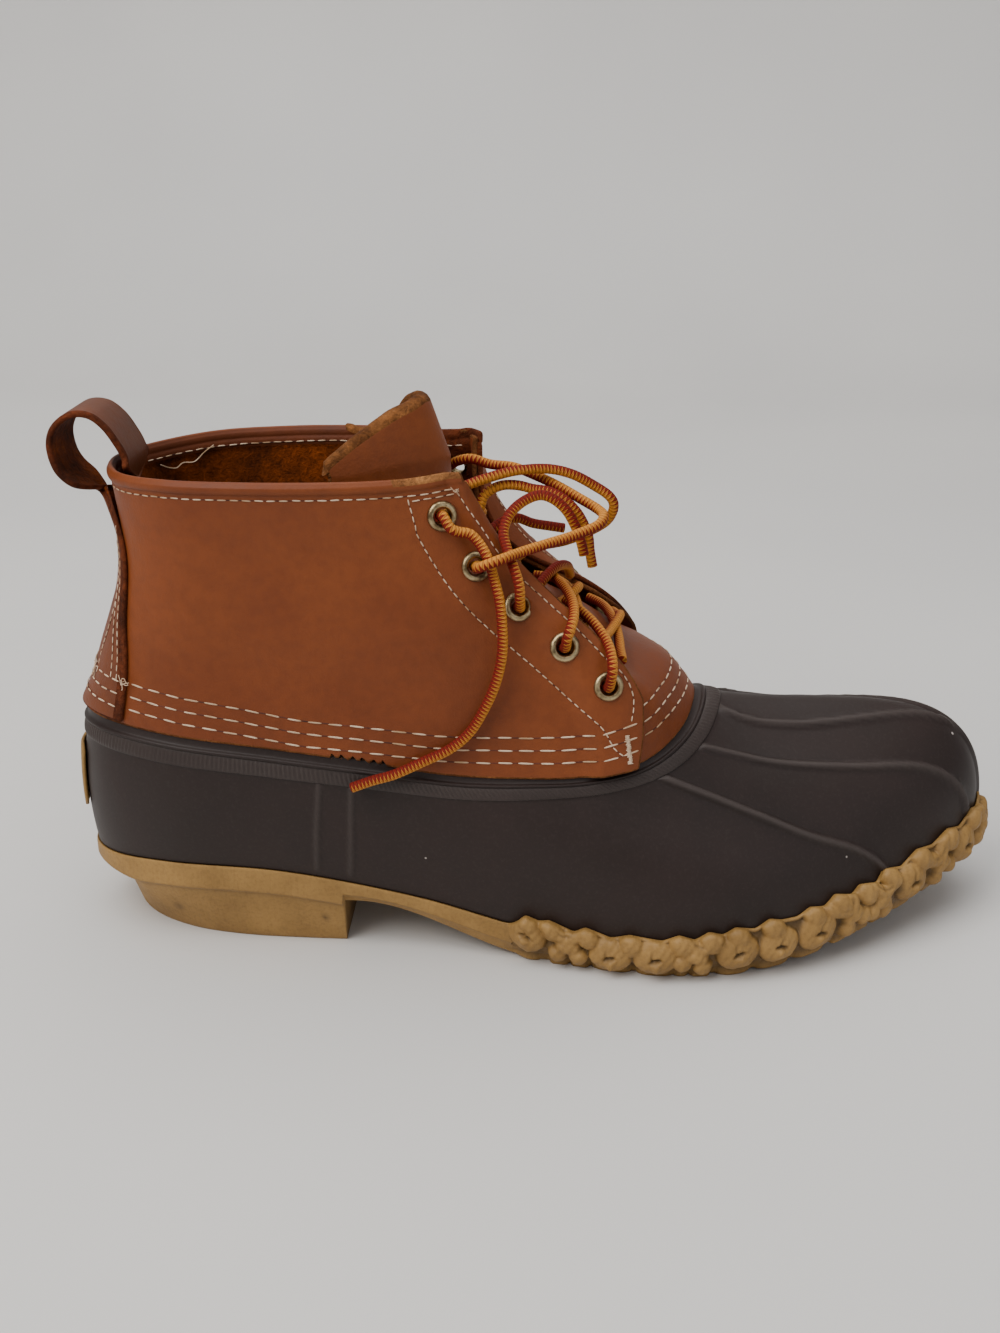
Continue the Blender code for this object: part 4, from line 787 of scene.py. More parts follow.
# Gum sole: heel block, waist and a chain-link edge round the forefoot; a dirt spot: x, z, size, depth
sole = {"heelFront": 33 * mm, "heelHeight": 17 * mm, "archFall": 68 * mm, "toeSpring": 19 * mm,
        "springStart": 158 * mm, "chainStart": 4.75, "reach": 2.6 * mm, "swell": 1.4 * mm, "ledge": 0.8 * mm,
        "spots": [(-24.5, 9.5, 1.6, 0.9), (26.5, 10.0, 1.3, 0.8), (-8, 6, 0.8, 0.4), (12, 4, 1.0, 0.35),
                  (193.5, 10, 2.2, 0.9),
                  (217, 20, 2.0, 0.8), (-44, 8, 1.2, 0.5), (60, 26, 2.5, 0.3), (110, 24, 2.0, 0.3)]}
# top of the chain edge: how far along from the back and how high over the edge, in mm
chainTop = [(166, 1.0), (169.5, 3.2), (173.8, 6.3), (177.7, 5.0), (181.5, 6.2), (188.9, 3.1), (193.4, 5.9),
            (201.0, 3.0), (207.6, 5.1), (217.4, 3.4), (223.3, 5.6), (227.8, 3.4), (233.0, 6.1), (237.2, 4.3),
            (241.8, 6.4), (248.0, 4.4), (253.8, 6.9), (257.6, 5.2), (263.0, 4.6), (268.5, 6.4), (273.5, 4.4),
            (279.2, 7.0), (284.9, 3.7), (289.5, 5.8), (295.5, 3.0), (300.5, 6.6), (306.9, 3.7), (314.5, 6.6),
            (321.0, 4.8), (328.3, 7.2), (335.0, 4.6), (342.8, 7.2), (348.0, 5.0), (352.0, 6.4)]
chainPeaks = [here for left, here, right in zip(chainTop, chainTop[1:], chainTop[2:])
              if here[1] > max(left[1], right[1])]
# the links: how far along, how high over the edge, half width, and whether it faces out or stands on edge
chainLinks = [(172.8, -1.0, 6.2, "round"), (186.6, -1.0, 6.6, "cross"), (200.6, -3.4, 6.6, "round"),
              (215.0, -2.8, 6.7, "round"), (227.9, -0.8, 6.4, "cross"), (241.0, -2.3, 6.5, "round"),
              (254.6, -2.8, 6.4, "round"), (268.4, -2.6, 6.6, "round"), (281.8, -1.2, 6.4, "cross"),
              (295.0, -2.0, 6.4, "cross"), (308.6, -2.6, 6.5, "round"), (322.4, -1.6, 6.4, "cross"),
              (336.0, -2.4, 6.4, "round"), (350.0, -1.6, 6.6, "cross")]


def underside(along):
    arch = sole["heelHeight"] * (1 - ease(along, sole["heelFront"] + 4 * mm, sole["heelFront"] + sole["archFall"]))
    reach = bootSize["length"] - bootSize["backReach"] - sole["springStart"]
    spring = sole["toeSpring"] * np.clip((along - sole["springStart"]) / reach, 0, None) ** 1.5
    return np.where(along <= sole["heelFront"], 0.0, arch) + spring


def toSegment(x, y, ax, ay, bx, by):
    t = np.clip(((x - ax) * (bx - ax) + (y - ay) * (by - ay)) / ((bx - ax) ** 2 + (by - ay) ** 2), 0, 1)
    return np.hypot(x - ax - t * (bx - ax), y - ay - t * (by - ay))


def chainRelief(along, high):
    # height of the moulded links over the edge's ground, in mm, and how much their recesses and outlines are darkened
    ground = np.full(along.shape, -1.7)
    cut = np.full(along.shape, 0.85)
    for centre, crown in chainPeaks:
        ring = np.hypot((along - centre) / 4.3, (high - crown + 3.4) / 4.6)
        height = 3.7 * np.sqrt(np.clip(1 - ring ** 2, 0, 1)) - 1.7
        cut = np.where(height > ground, ease(ring, 0.85, 1.0) * 0.8, cut)
        ground = np.maximum(ground, height)
    for centre, middle, half, kind in chainLinks:
        tilt = 0.35 * math.sin(centre * 1.7)
        x, y = along - centre, high - middle
        x, y = x * math.cos(tilt) + y * math.sin(tilt), y * math.cos(tilt) - x * math.sin(tilt)
        if kind == "round":
            ring = np.hypot(x / half, y / half) / 1.09
            body = 4.0 * np.sqrt(np.clip(1.04 - ring ** 2, 0, 1)) - 2.0
            fold = 0.6 * np.exp(-((np.hypot((x - 2.6) / half, (y - 1) / half) - 0.5) / 0.06) ** 2)
            fold = fold * ease(y, -1.0, 1.5) * ease(-x, -2, 1)
            groove = np.exp(-(x / 1.9) ** 4 - ((y - 0.3 + 0.10 * x ** 2) / 0.6) ** 2)
            ball = 1.0 * np.exp(-(np.hypot(x, y + 1.7) / 1.3) ** 2)
            height = body - fold - 1.9 * groove + ball
            darkInHollows = np.maximum(np.maximum(groove, 0.7 * fold), ease(ring, 0.90, 1.0) * 0.85)
        else:
            arm = np.minimum(toSegment(x, y, -half * 0.85, 6.0, half * 0.3, -1.5),
                             toSegment(x, y, half * 0.85, 6.0, -half * 0.3, -1.5))
            lobe = np.minimum(np.hypot(x + half * 0.52, y + 4.6), np.hypot(x - half * 0.52, y + 4.6))
            middleLump = np.hypot(x / 1.2, y + 1.0)
            body = np.maximum(3.2 * np.sqrt(np.clip(1 - (arm / 2.7) ** 2, 0, 1)),
                              3.5 * np.sqrt(np.clip(1 - (lobe / 3.4) ** 2, 0, 1))) - 1.6
            body = np.maximum(body, 3.6 * np.sqrt(np.clip(1 - (middleLump / 3.3) ** 2, 0, 1)) - 1.6)
            arch = 0.7 * np.exp(-((np.hypot(x, y - 6.5) - 3.6) / 0.4) ** 2) * ease(-y, -6, -3)
            crease = np.exp(-(toSegment(x, y, 0, -3.2, 0, -7) / 0.4) ** 2) + arch
            corners = np.exp(-(np.hypot(np.abs(x) - half * 0.75, y + 0.6) / 1.0) ** 2)
            height = body - 0.6 * crease - 0.9 * corners
            darkInHollows = np.maximum(np.maximum(0.7 * crease, corners), (1 - ease(body, -1.5, -0.6)) * 0.75)
        inside = (np.abs(x) < half * 1.25) & (height > ground)
        ground = np.where(inside, height, ground)
        cut = np.where(inside, darkInHollows, cut)
    return ground, np.clip(cut, 0, 1)


def makeSole():
    back = evenStations(edgeLoop, 0, sole["chainStart"] - 0.2, 120)[:-1]
    breast = float(np.interp(sole["heelFront"], smooth(edgeLoop, np.linspace(3, 4, 401))[:, 0],
                             np.linspace(3, 4, 401)))
    back = np.sort(np.concatenate([back[np.abs(back - breast) > 0.012],
                                   [breast - 0.004, breast, breast + 0.006, breast + 0.012]]))
    half = np.concatenate([back, evenStations(edgeLoop, sole["chainStart"] - 0.2, 10, 500)])
    fineRun = runAlong(smooth(edgeLoop, np.linspace(0, 10, 4001)))
    sides = []
    for mirror in (False, True):
        station = 20 - half if mirror else half
        run = np.interp(half, np.linspace(0, 10, 4001), fineRun) * 1000  # both sides by the near one's measure
        edge, out = smooth(edgeLoop, station), outward(edgeLoop, station)
        lug = ease(half, sole["chainStart"] - 0.12, sole["chainStart"] + 0.14)
        heel = (half <= breast + 1e-9).astype(float)
        floor = underside(edge[:, 0]) * (1 - heel)
        length = lengthAt(rubberForm, station)
        top = np.interp(run, [a for a, b in chainTop], [b for a, b in chainTop])
        near = np.array([np.interp(run + d, [a for a, b in chainTop], [b for a, b in chainTop]) for d in (-0.8, 0.8)])
        rise = lug * (top * 0.6 + near.mean(axis=0) * 0.4) * mm
        reach = sole["ledge"] + lug * (sole["reach"] - sole["ledge"] + 0.3 * sole["swell"])
        deep = edge[:, 2] - floor
        rear = 1 - ease(edge[:, 0], -bootSize["backReach"], -bootSize["backReach"] * 0.6)
        band = np.where(lug > 0.5, deep * 0.45, np.minimum(9 * mm * (1 - 0.4 * rear), deep * 0.55))
        blockIn = 5 * mm + 7.5 * mm * (1 - ease(edge[:, 0], -bootSize["backReach"], 12 * mm))
        stepIn = heel * (1.8 * mm + 6.2 * mm * rear) + (1 - heel) * 0.6 * mm
        foot = reach * (1 - heel) - (lug * 3.4 * mm + (1 - lug) * (heel * blockIn + (1 - heel) * 2.5 * mm))
        foot += lug * np.clip(chainRelief(run, run * 0 - 6.5)[0], -1.6, 1.2) * 0.7 * mm  # scalloped underneath

        def level(off, height):
            ring = edge + out * np.broadcast_to(off, len(half))[:, None]
            ring[:, 2] = height
            return ring

        rings = [level(foot - sole["ledge"], floor),
                 level(foot * (1 - lug) + reach * 0.62 * lug, floor + 1.2 * mm * (1 + 1.7 * lug)),
                 level((reach - stepIn) * (1 - lug) + reach * 0.95 * lug, edge[:, 2] - band - 0.6 * mm),
                 level(reach * (1 + 0.12 * lug), edge[:, 2] - band),
                 level(reach, edge[:, 2] + rise * 0.15 - (1 - lug) * sole["ledge"]),
                 surfaceAt(rubberForm, station, rise / length, reach * 0.7),
                 surfaceAt(rubberForm, station, rise / length, 0.35 * mm),
                 level(0.35 * mm, edge[:, 2] - 0.3 * mm),
                 level(-2.2 * mm, edge[:, 2] - 0.3 * mm)]
        steps = [6, 13, 3, 13, 9, 5, 3, 3]
        profile = []
        for lower, upper, count in zip(rings[:-1], rings[1:], steps):
            profile += [lower + (upper - lower) * t for t in np.linspace(0, 1, count, endpoint=False)]
        profile = np.array(profile + [rings[-1]])
        soft = profile.copy()
        for turn in range(6):
            soft[1:46] = soft[0:45] * 0.25 + soft[1:46] * 0.5 + soft[2:47] * 0.25
        keen = profile.copy()
        for turn in range(2):
            keen[1:46] = keen[0:45] * 0.25 + keen[1:46] * 0.5 + keen[2:47] * 0.25
        profile = keen * (1 - lug[:, None]) + soft * lug[:, None]
        sideways = np.gradient(profile, axis=1) * (-1 if mirror else 1)
        normal = unit(np.cross(sideways, np.gradient(profile, axis=0)))
        high = (profile[..., 2] - edge[:, 2]) * 1000
        relief, cut = chainRelief(np.broadcast_to(run, high.shape), high)
        fade = ease(np.arange(len(profile)), 0, 5) * (1 - ease(np.arange(len(profile)), 42, 48))
        waver = 0.12 * np.sin(run * 0.9 + high * 0.7) + 0.10 * np.sin(run * 2.3 - high * 1.9)
        profile = profile + normal * ((relief + waver) * mm * lug * fade[:, None])[..., None]
        darkening = np.clip(cut * lug * fade[:, None], 0, 1)
        step = np.arange(len(profile))[:, None]
        darkening = np.maximum(darkening, 0.35 * np.exp(-((step - 20) / 1.6) ** 2) * (1 - lug) * (0.4 + 0.6 * heel))
        for x, z, size, depth in sole["spots"]:
            gap = np.hypot(profile[..., 0] - x * mm, profile[..., 2] - z * mm) / (size * mm)
            darkening = np.maximum(darkening, depth * np.exp(-gap ** 2))
        sides.append((profile, darkening, run))
    near, far = sides
    near[0][:, -1] = far[0][:, -1] = (near[0][:, -1] + far[0][:, -1]) / 2  # the two sides meet at the toe
    parts = np.linspace(0, 1, 34)[1:-1, None, None]
    footNear, footFar = near[0][0], far[0][0]
    across = footNear * (1 - parts) + footFar * parts
    x, y = across[..., 0] * 1000, across[..., 1] * 1000
    beat = np.sin(x * 2 * math.pi / 14 + 1.5 * np.sin(y * 2 * math.pi / 15))
    clear = ease(across[..., 1] - footNear[:, 1], 1 * mm, 3 * mm)
    clear = clear * ease(footFar[:, 1] - across[..., 1], 1 * mm, 3 * mm)
    treadZone = np.maximum(ease(across[..., 0], 92 * mm, 98 * mm), 1 - ease(across[..., 0], 27 * mm, 30 * mm))
    across[..., 2] += 1.6 * mm * ease(beat, -0.1, 0.5) * clear * treadZone
    bed = near[0][-1] * (1 - parts[::5]) + far[0][-1] * parts[::5]
    columns = np.concatenate([near[0][::-1], across, far[0], bed[::-1], near[0][-1:]])
    darkening = np.concatenate([near[1][::-1], 0.35 * np.ones(across.shape[:2]), far[1], np.zeros(bed.shape[:2]),
                           near[1][-1:]])
    up = columns[..., 2]
    runs = np.broadcast_to(near[2] / 1000, up.shape)
    piece = layGrid("gumSole", columns.transpose(1, 0, 2), uv=(runs.T, up.T), marks={"darkening": darkening.T})
    dress(piece, [gum], ["outsole"])


makeSole()
print("sole moulded")


# Leather quarters; each crease: station, share, half width, half height, depth in mm
creases = [(-3.2, 0.34, 2.2, 0.10, 0.7), (-5.6, 0.52, 1.0, 0.16, -0.5), (3.1, 0.30, 2.0, 0.12, 0.6),
           (5.4, 0.50, 0.9, 0.16, -0.5), (1.5, 0.45, 0.8, 0.2, -0.4), (4.4, 0.75, 1.6, 0.10, 0.4)]


def creaseDepth(station, share):
    # soft troughs and swells of a little-worn shaft, in metres
    station = np.mod(np.asarray(station, dtype=float) + 10, 20) - 10
    depth = 0.0
    for where, high, wide, tall, deep in creases:
        depth = depth - deep * mm * np.exp(-((station - where) / wide) ** 2 - ((share - high) / tall) ** 2)
    return depth


unworn = {"wearAndHighlight": 0.0}


def leatherOff(station, share):
    return leather["proud"] + lapOut(station) + creaseDepth(station, share)


def cutAt(share):
    return np.interp(share, [row[0] for row in frontCut], [row[1] for row in frontCut])


def flapAhead(station, share):
    # the front edge of a quarter follows the cut line
    cut = cutAt(share) - leather["front"]
    cut = np.where(station < 0, np.maximum(cut, -0.16), cut)  # the far flap keeps its corner
    return station + np.sign(station) * cut * ease(np.abs(station), 6.7, leather["front"])


def makeQuarters():
    station = evenStations(jointLoop * 0.5 + collarLoop * 0.5, -leather["front"], leather["front"], 430)
    roll = 1 - leather["roll"] / lengthAt(shaftForm, station)
    low = np.linspace(0, 1, 92)[:, None]
    wide = flapAhead(station, low * roll)
    base = leather["proud"] + lapOut(wide)
    # a short run of the lower edge is cut in small teeth
    pinkRun = np.abs(station - 3.95) < 0.32
    teeth = 1.3 * mm * np.abs(np.mod(station * 8.5, 1) * 2 - 1)
    teeth = np.where(pinkRun & (station > 0), teeth, 0) / lengthAt(shaftForm, station)
    share = np.maximum(low * roll, teeth)
    bump = creaseDepth(wide, share)
    press = 0.25 * mm * np.exp(-((low * roll - roll) * lengthAt(shaftForm, station) / (0.8 * mm)) ** 2)
    facing = 0.6 * mm * ease(low, 0.960, 0.972)  # a smooth band inside the collar
    crest = flapAhead(station, 1.0)
    crestBase = leather["proud"] + lapOut(crest)
    outerRows = [surfaceAt(shaftForm, wide, share, base + bump - press)]
    innerRows = [surfaceAt(shaftForm, wide, share, base - leather["thick"] + bump - facing)]
    keep = 1 - 0.85 * ease(np.abs(station), 6.6, 7.3)  # the roll dies away at the front corners
    for part in np.linspace(0.12, 1, 8):
        swell = leather["rollBulge"] * keep * (math.sqrt(max(0.0, 1 - (2 * part - 1.05) ** 2)) if part < 1 else 0.0)
        share = roll + (1 - roll) * part * 0.97
        off = crestBase + creaseDepth(crest, share)
        outerRows.append(surfaceAt(shaftForm, crest, share, off + swell)[None])
        innerRows.append(surfaceAt(shaftForm, crest, share, off - leather["thick"] - swell * 0.8)[None])
    places, slots = wrapSheet(np.concatenate(outerRows), np.concatenate(innerRows))
    faces = slots.copy()
    faces[92:104] = np.where(faces[92:104] == 1, 0, faces[92:104])
    faces[104:116] = 3
    faces[104:204, 3:52] = 4  # the far flap's inside takes the dark cut-edge suede: painted shade, as it lies in shadow
    faces[104:204, -22:-3] = 3
    faces[90:104, :44] = 4
    faces[96:102, -48:] = 5
    faces[:, :3] = 4
    faces[:, -3:] = 1
    piece = layGrid("leatherQuarters", places, marks=unworn, slots=faces)
    dress(piece, [cowhide, rawEdge, suede, facingHide, darkEdgeAndShade, paleEdge], ["leather_upper"])
    # a second layer backs the far flap's edge; its cut edge waves past the first one
    high = np.linspace(0.12, 0.985, 150)[:, None]
    front = np.maximum(cutAt(high), 7.84)
    wave = 0.03 * np.sin(high * 23) + 0.02 * np.sin(high * 51 + 1)
    wave = wave + 0.12 * np.exp(-((high - 0.40) / 0.07) ** 2) + 0.14 * np.exp(-((high - 0.20) / 0.06) ** 2)
    turn = -(front - 0.32 * (1 - np.linspace(0, 1, 16)[None, :]) + 0.07 + wave)
    turn = turn[:, ::-1]
    off = leather["proud"] + lapOut(turn) - leather["thick"] - 0.15 * mm
    places, slots = wrapSheet(surfaceAt(shaftForm, turn, high, off), surfaceAt(shaftForm, turn, high, off - 1.7 * mm))
    backing = layGrid("flapBacking", places, marks=unworn, slots=slots)
    dress(backing, [facingHide, rawEdge, facingHide])
    return piece


quarters = makeQuarters()
eyeletSize = {"hole": 2.8 * mm}
for number in range(5):
    for medial in (False, True):
        centre, normal = eyeletFrame(number, medial)
        bpy.ops.object.select_all(action="DESELECT")
        bpy.ops.mesh.primitive_cylinder_add(vertices=32, radius=eyeletSize["hole"] + 0.5 * mm, depth=14 * mm)
        punch = bpy.context.object
        punch.rotation_mode = "QUATERNION"
        punch.rotation_quaternion = Vector(normal).to_track_quat("Z", "Y")
        punch.location = centre
        bpy.context.view_layer.update()
        cut = quarters.modifiers.new("punch", "BOOLEAN")
        cut.operation, cut.solver, cut.object = "DIFFERENCE", "EXACT", punch
        pickAlone(quarters)
        bpy.ops.object.modifier_apply(modifier="punch")
        bpy.data.objects.remove(punch, do_unlink=True)
print("quarters cut and punched")


# Vamp and tongue
def makeVamp():
    part = np.linspace(-1, 1, 150)[None, :]
    share = np.linspace(0, 1, 110)[:, None]
    fall = np.where(part < 0, np.clip((-part - 0.1) / 0.9, 0, 1) ** 1.1, ease(part, 0.05, 0.7))
    outer = tonguePlace(share, part, leather["proud"])
    inner = tonguePlace(share, part, leather["proud"] - tongueSize["thick"])
    lean = np.array([-tongueSize["lean"], 0, 1])
    for step in np.linspace(0.08, 1, 22):
        lift = (lean * tongueSize["rise"] * step * (1 - tongueSize["fall"] * fall)[..., None])[0]
        # the cut rim is thick and soft
        inward = unit(inner[109:110] - outer[109:110]) * 3.0 * mm * ease(step, 0.35, 0.95)
        outer = np.concatenate([outer, outer[109:110] + lift])
        inner = np.concatenate([inner, inner[109:110] + lift * (1 + 0.06 * step) + inward])
    places, slots = wrapSheet(outer, inner)
    piece = layGrid("vampTongue", places, marks=unworn, slots=slots)
    dress(piece, [cowhide, rimSuede, suede], ["vamp_tongue"])
    return outer[-1] * 0.8 + inner[-1] * 0.2


tongueTop = makeVamp()
print("vamp and tongue cut")


# Backstay and pull loop, one strap
strap = {"width": 21 * mm, "thick": 2.1 * mm, "loopOut": 18 * mm, "loopRise": 18 * mm}
loopTurns = [(0.12, -0.79), (0.33, -0.61), (0.58, -0.43), (0.83, -0.21), (0.97, 0.07), (1.00, 0.43), (0.86, 0.74),
             (0.54, 0.96), (0.18, 0.95), (-0.10, 0.74), (-0.30, 0.44), (-0.42, 0.18), (-0.45, -0.06)]
# the backstay flares downwards: share of the way up and half its width in stations
backShares = [(0.015, 1.40), (0.14, 1.388), (0.28, 1.34), (0.42, 1.25), (0.54, 1.19), (0.66, 1.12), (0.75, 0.98)]


def strapRow(share, off, half):
    station = np.linspace(-1, 1, 33) * half
    return surfaceAt(shaftForm, station, share, off + creaseDepth(station, share))


def makeStrap():
    near = leather["proud"] + 0.05 * mm
    lining = leather["proud"] - leather["thick"] - leather["rollBulge"] - 0.7 * mm
    inner = [strapRow(share, near, half) for share, half in backShares]
    outer = [strapRow(share, near + 1.6 * mm, half) for share, half in backShares]
    last = outer[-1] - outer[-1][16]
    plain = np.linspace(-1, 1, 33)[:, None] * (0, strap["width"] / 2, 0)
    path = np.array([collarLoop[0] + (-out * strap["loopOut"], 0, up * strap["loopRise"]) for out, up in loopTurns])
    for i, place in enumerate(path):
        way = path[min(i + 1, len(path) - 1)] - path[max(i - 1, 0)]
        inward = np.cross((0, 1, 0), unit(way))
        across = plain + (last - plain) * (1 - ease(i, -1, 2.5))
        outer.append(place + across)
        inner.append(place + across + inward * strap["thick"])
    reach = np.linalg.norm(smooth(jointLoop, 0.4) - smooth(jointLoop, 0.0)) / 0.4
    for share in (0.87, 0.8):
        outer.append(strapRow(share, lining - strap["thick"], strap["width"] / 2 / reach))
        inner.append(strapRow(share, lining, strap["width"] / 2 / reach))
    outer, inner = throughPoints(np.array(outer), 8), throughPoints(np.array(inner), 8)
    places, slots = wrapSheet(outer, inner)
    slots[:, :4] = 1
    slots[:, -4:] = 1
    piece = layGrid("pullLoop", places, marks=unworn, slots=slots)
    dress(piece, [strapHide, darkEdgeAndShade, suede], ["pull_loop"])
    return outer, inner


strapOuter, strapInner = makeStrap()
print("strap folded")


# Heel tab: a small plain gum patch
def makeTab():
    reach = np.linalg.norm(smooth(edgeLoop, 0.4) - smooth(edgeLoop, 0.0)) / 0.4
    share = np.linspace(0.27, 0.71, 24)[:, None]
    inset = 1 - 0.22 * (1 - ease(share, 0.27, 0.32)) - 0.22 * ease(share, 0.66, 0.71)
    station = np.linspace(-1, 1, 40)[None, :] * 13 * mm / reach * inset
    outer = surfaceAt(rubberForm, station, share, 1.8 * mm)
    inner = surfaceAt(rubberForm, station, share, 0.6 * mm)
    places, slots = wrapSheet(outer, inner)
    piece = layGrid("heelTab", places, marks={"darkening": 0.0})
    dress(piece, [gum], ["heel_tab"])


makeTab()


# Insole: a loose felt board, a little dished where the heel and ball press it
def makeInsole():
    half = np.linspace(0, 10, 160)[:, None]
    part = np.linspace(0, 1, 48)[None, :]
    ends = []
    for station in (half[:, 0], 20 - half[:, 0]):
        ends.append(smooth(edgeLoop, station) - outward(edgeLoop, station) * 4.3 * mm)
    base = ends[0][:, None] * (1 - part[..., None]) + ends[1][:, None] * part[..., None]
    line = smooth(edgeLoop, np.linspace(0, 10, 101))
    base[..., 2] = np.interp(base[..., 0], line[:, 0], line[:, 2])
    dish = 0.9 * mm * np.sin(part * math.pi) * (np.exp(-((base[..., 0] + 25 * mm) / (22 * mm)) ** 2)
                                                + np.exp(-((base[..., 0] - 140 * mm) / (32 * mm)) ** 2))
    top, low = base.copy(), base.copy()
    top[..., 2] += 4.5 * mm - dish
    low[..., 2] += 0.5 * mm
    for edge in (top, low):
        edge[0], edge[-1] = edge[0].mean(axis=0), edge[-1].mean(axis=0)
    places, slots = wrapSheet(top.transpose(1, 0, 2), low.transpose(1, 0, 2))
    piece = layGrid("feltInsole", places)
    dress(piece, [felt], ["insole"])


makeInsole()


# Eyelets: a spun brass ring, drawn from a circle and copied; each step: radius and rise in mm
eyeletProfile = [(2.8, 2.5), (2.9, 0.42), (3.1, 0.28), (3.4, 0.05), (3.75, -0.10), (4.05, -0.14), (4.3, -0.24),
                 (4.4, -0.3), (4.3, -0.2)]


def makeEyelet():
    bpy.ops.object.select_all(action="DESELECT")
    bpy.ops.mesh.primitive_circle_add(vertices=48, radius=eyeletSize["hole"], location=(0, 0, -2.4 * mm))
    ring = bpy.context.object
    ring.name = "eyeletPattern"
    bpy.ops.object.transform_apply(location=True)
    bpy.ops.object.mode_set(mode="EDIT")
    bpy.ops.mesh.select_all(action="SELECT")
    size = eyeletSize["hole"]
    for radius, rise in eyeletProfile:
        bpy.ops.mesh.extrude_edges_move(TRANSFORM_OT_translate={"value": (0, 0, rise * mm)})
        bpy.ops.transform.resize(value=(radius * mm / size, radius * mm / size, 1))
        size = radius * mm
    bpy.ops.mesh.select_all(action="SELECT")
    bpy.ops.object.mode_set(mode="OBJECT")
    wall = ring.modifiers.new("wall", "SOLIDIFY")
    wall.thickness, wall.offset = 0.25 * mm, -1
    bpy.ops.object.modifier_apply(modifier="wall")
    bpy.ops.object.shade_smooth()
    return ring


pattern = makeEyelet()
for number in range(5):
    for medial in (False, True):
        centre, normal = eyeletFrame(number, medial)
        copy = pattern.copy()
        copy.data = pattern.data.copy()
        bpy.context.collection.objects.link(copy)
        copy.name = copy.data.name = f"eyelet{'Medial' if medial else 'Lateral'}{number + 1}"
        copy.rotation_mode = "QUATERNION"
        copy.rotation_quaternion = Vector(normal).to_track_quat("Z", "Y")
        copy.location = centre + normal * 0.1 * mm
        pickAlone(copy)
        bpy.ops.object.transform_apply(location=True, rotation=True, scale=True)
        dress(copy, [brass], [f"eyelet_{'medial' if medial else 'lateral'}_{number + 1}"])
bpy.data.objects.remove(pattern, do_unlink=True)
print("eyelets set")


# Stitches: one thread capsule, laid along each row
bpy.ops.object.select_all(action="DESELECT")
bpy.ops.mesh.primitive_uv_sphere_add(segments=8, ring_count=6, radius=0.5)
seed = bpy.context.object
capsule = np.array([v.co for v in seed.data.vertices])[:, [2, 0, 1]]
capsule[:, 0] = np.sign(capsule[:, 0]) * (np.abs(capsule[:, 0]) * 2) ** 0.55 / 2
capsuleFaces = [tuple(p.vertices) for p in seed.data.polygons]
bpy.data.objects.remove(seed, do_unlink=True)
bpy.ops.mesh.primitive_cone_add(vertices=3, radius1=0.5, radius2=0.15, depth=1)  # one loose fibre
seed = bpy.context.object
fibre = np.array([v.co for v in seed.data.vertices])[:, [2, 0, 1]]
fibreFaces = [tuple(p.vertices) for p in seed.data.polygons]
bpy.data.objects.remove(seed, do_unlink=True)


def layStitches(name, starts, ends, normals, wide, tall, thread, loose=False):
    points, faces = [], []
    shape, shapeFaces = (fibre, fibreFaces) if loose else (capsule, capsuleFaces)
    for a, b, n in zip(starts, ends, normals):
        way = unit(b - a)
        side = unit(np.cross(n, way))
        up = np.cross(way, side)
        base = len(points) * len(shape)
        body = ((a + b) / 2 + shape[:, 0:1] * way * np.linalg.norm(b - a) + shape[:, 1:2] * side * wide
                + shape[:, 2:3] * up * tall)
        points.append(body)
        faces += [tuple(i + base for i in face) for face in shapeFaces]
    mesh = bpy.data.meshes.new(name)
    mesh.from_pydata(np.concatenate(points).tolist(), [], faces)
    piece = bpy.data.objects.new(name, mesh)
    bpy.context.collection.objects.link(piece)
    mesh.polygons.foreach_set("use_smooth", np.ones(len(mesh.polygons), dtype=bool))
    dress(piece, [thread])
    return piece


def sewRow(name, line, normals, dash, gap, wide, sunk=True, jitter=0.12):
    run = runAlong(line)
    count = max(1, int(run[-1] / (dash + gap)))
    pitch = run[-1] / count
    at = np.arange(count) * pitch + gap * 0.5
    wobble = chance.uniform(-1, 1, (4, count)) * jitter

    def read(marks, source):
        return np.stack([np.interp(marks, run, source[:, axis]) for axis in range(3)], axis=-1)
    a, b = at + wobble[0] * gap, at + (pitch - gap) + wobble[1] * gap
    n = unit(read((a + b) / 2, normals))
    side = unit(np.cross(n, read(b, line) - read(a, line)))
    shift = side * wobble[2][:, None] * wide * 1.2
    tilt = side * wobble[3][:, None] * wide * 1.2
    layStitches(name, read(a, line) + shift + tilt, read(b, line) + shift - tilt, n, wide, wide * 0.7, paleThread)
    # dark lengths laid sunk between the dashes: painted shade of the stitch holes
    if sunk:
        layStitches(name + "Sunk", read(b - 0.2 * gap, line)[:-1] - n[:-1] * wide * 0.18,
                    read(a[1:] + 0.2 * gap, line) - n[:-1] * wide * 0.18,
                    n[:-1], wide * 0.75, wide * 0.35, stitchHoleShade)


def quarterLine(stations, shares, lift=0.1 * mm, smoothIt=True):
    rows = np.stack([stations, shares], axis=-1)
    fine = throughPoints(rows, 24) if smoothIt else rows
    off = leatherOff(fine[:, 0], fine[:, 1]) + lift
    line = surfaceAt(shaftForm, fine[:, 0], fine[:, 1], off)
    return line, unit(surfaceAt(shaftForm, fine[:, 0], fine[:, 1], off + mm) - line)


def strapLine(stations, shares, lift=0.1 * mm):
    off = leather["proud"] + 1.65 * mm + creaseDepth(stations, shares) + lift
    line = surfaceAt(shaftForm, stations, shares, off)
    return line, unit(surfaceAt(shaftForm, stations, shares, off + mm) - line)


def looseThread(name, points, wide, thread):
    # one soft thread through the points, made of short overlapping lengths
    line, run = evenSteps(throughPoints(points, 8), 0.7 * mm)
    way = np.diff(line, axis=0) * 0.25
    layStitches(name, line[:-1] - way, line[1:] + way, np.tile((0.1, -1, 0.3), (len(way), 1)), wide, wide, thread)


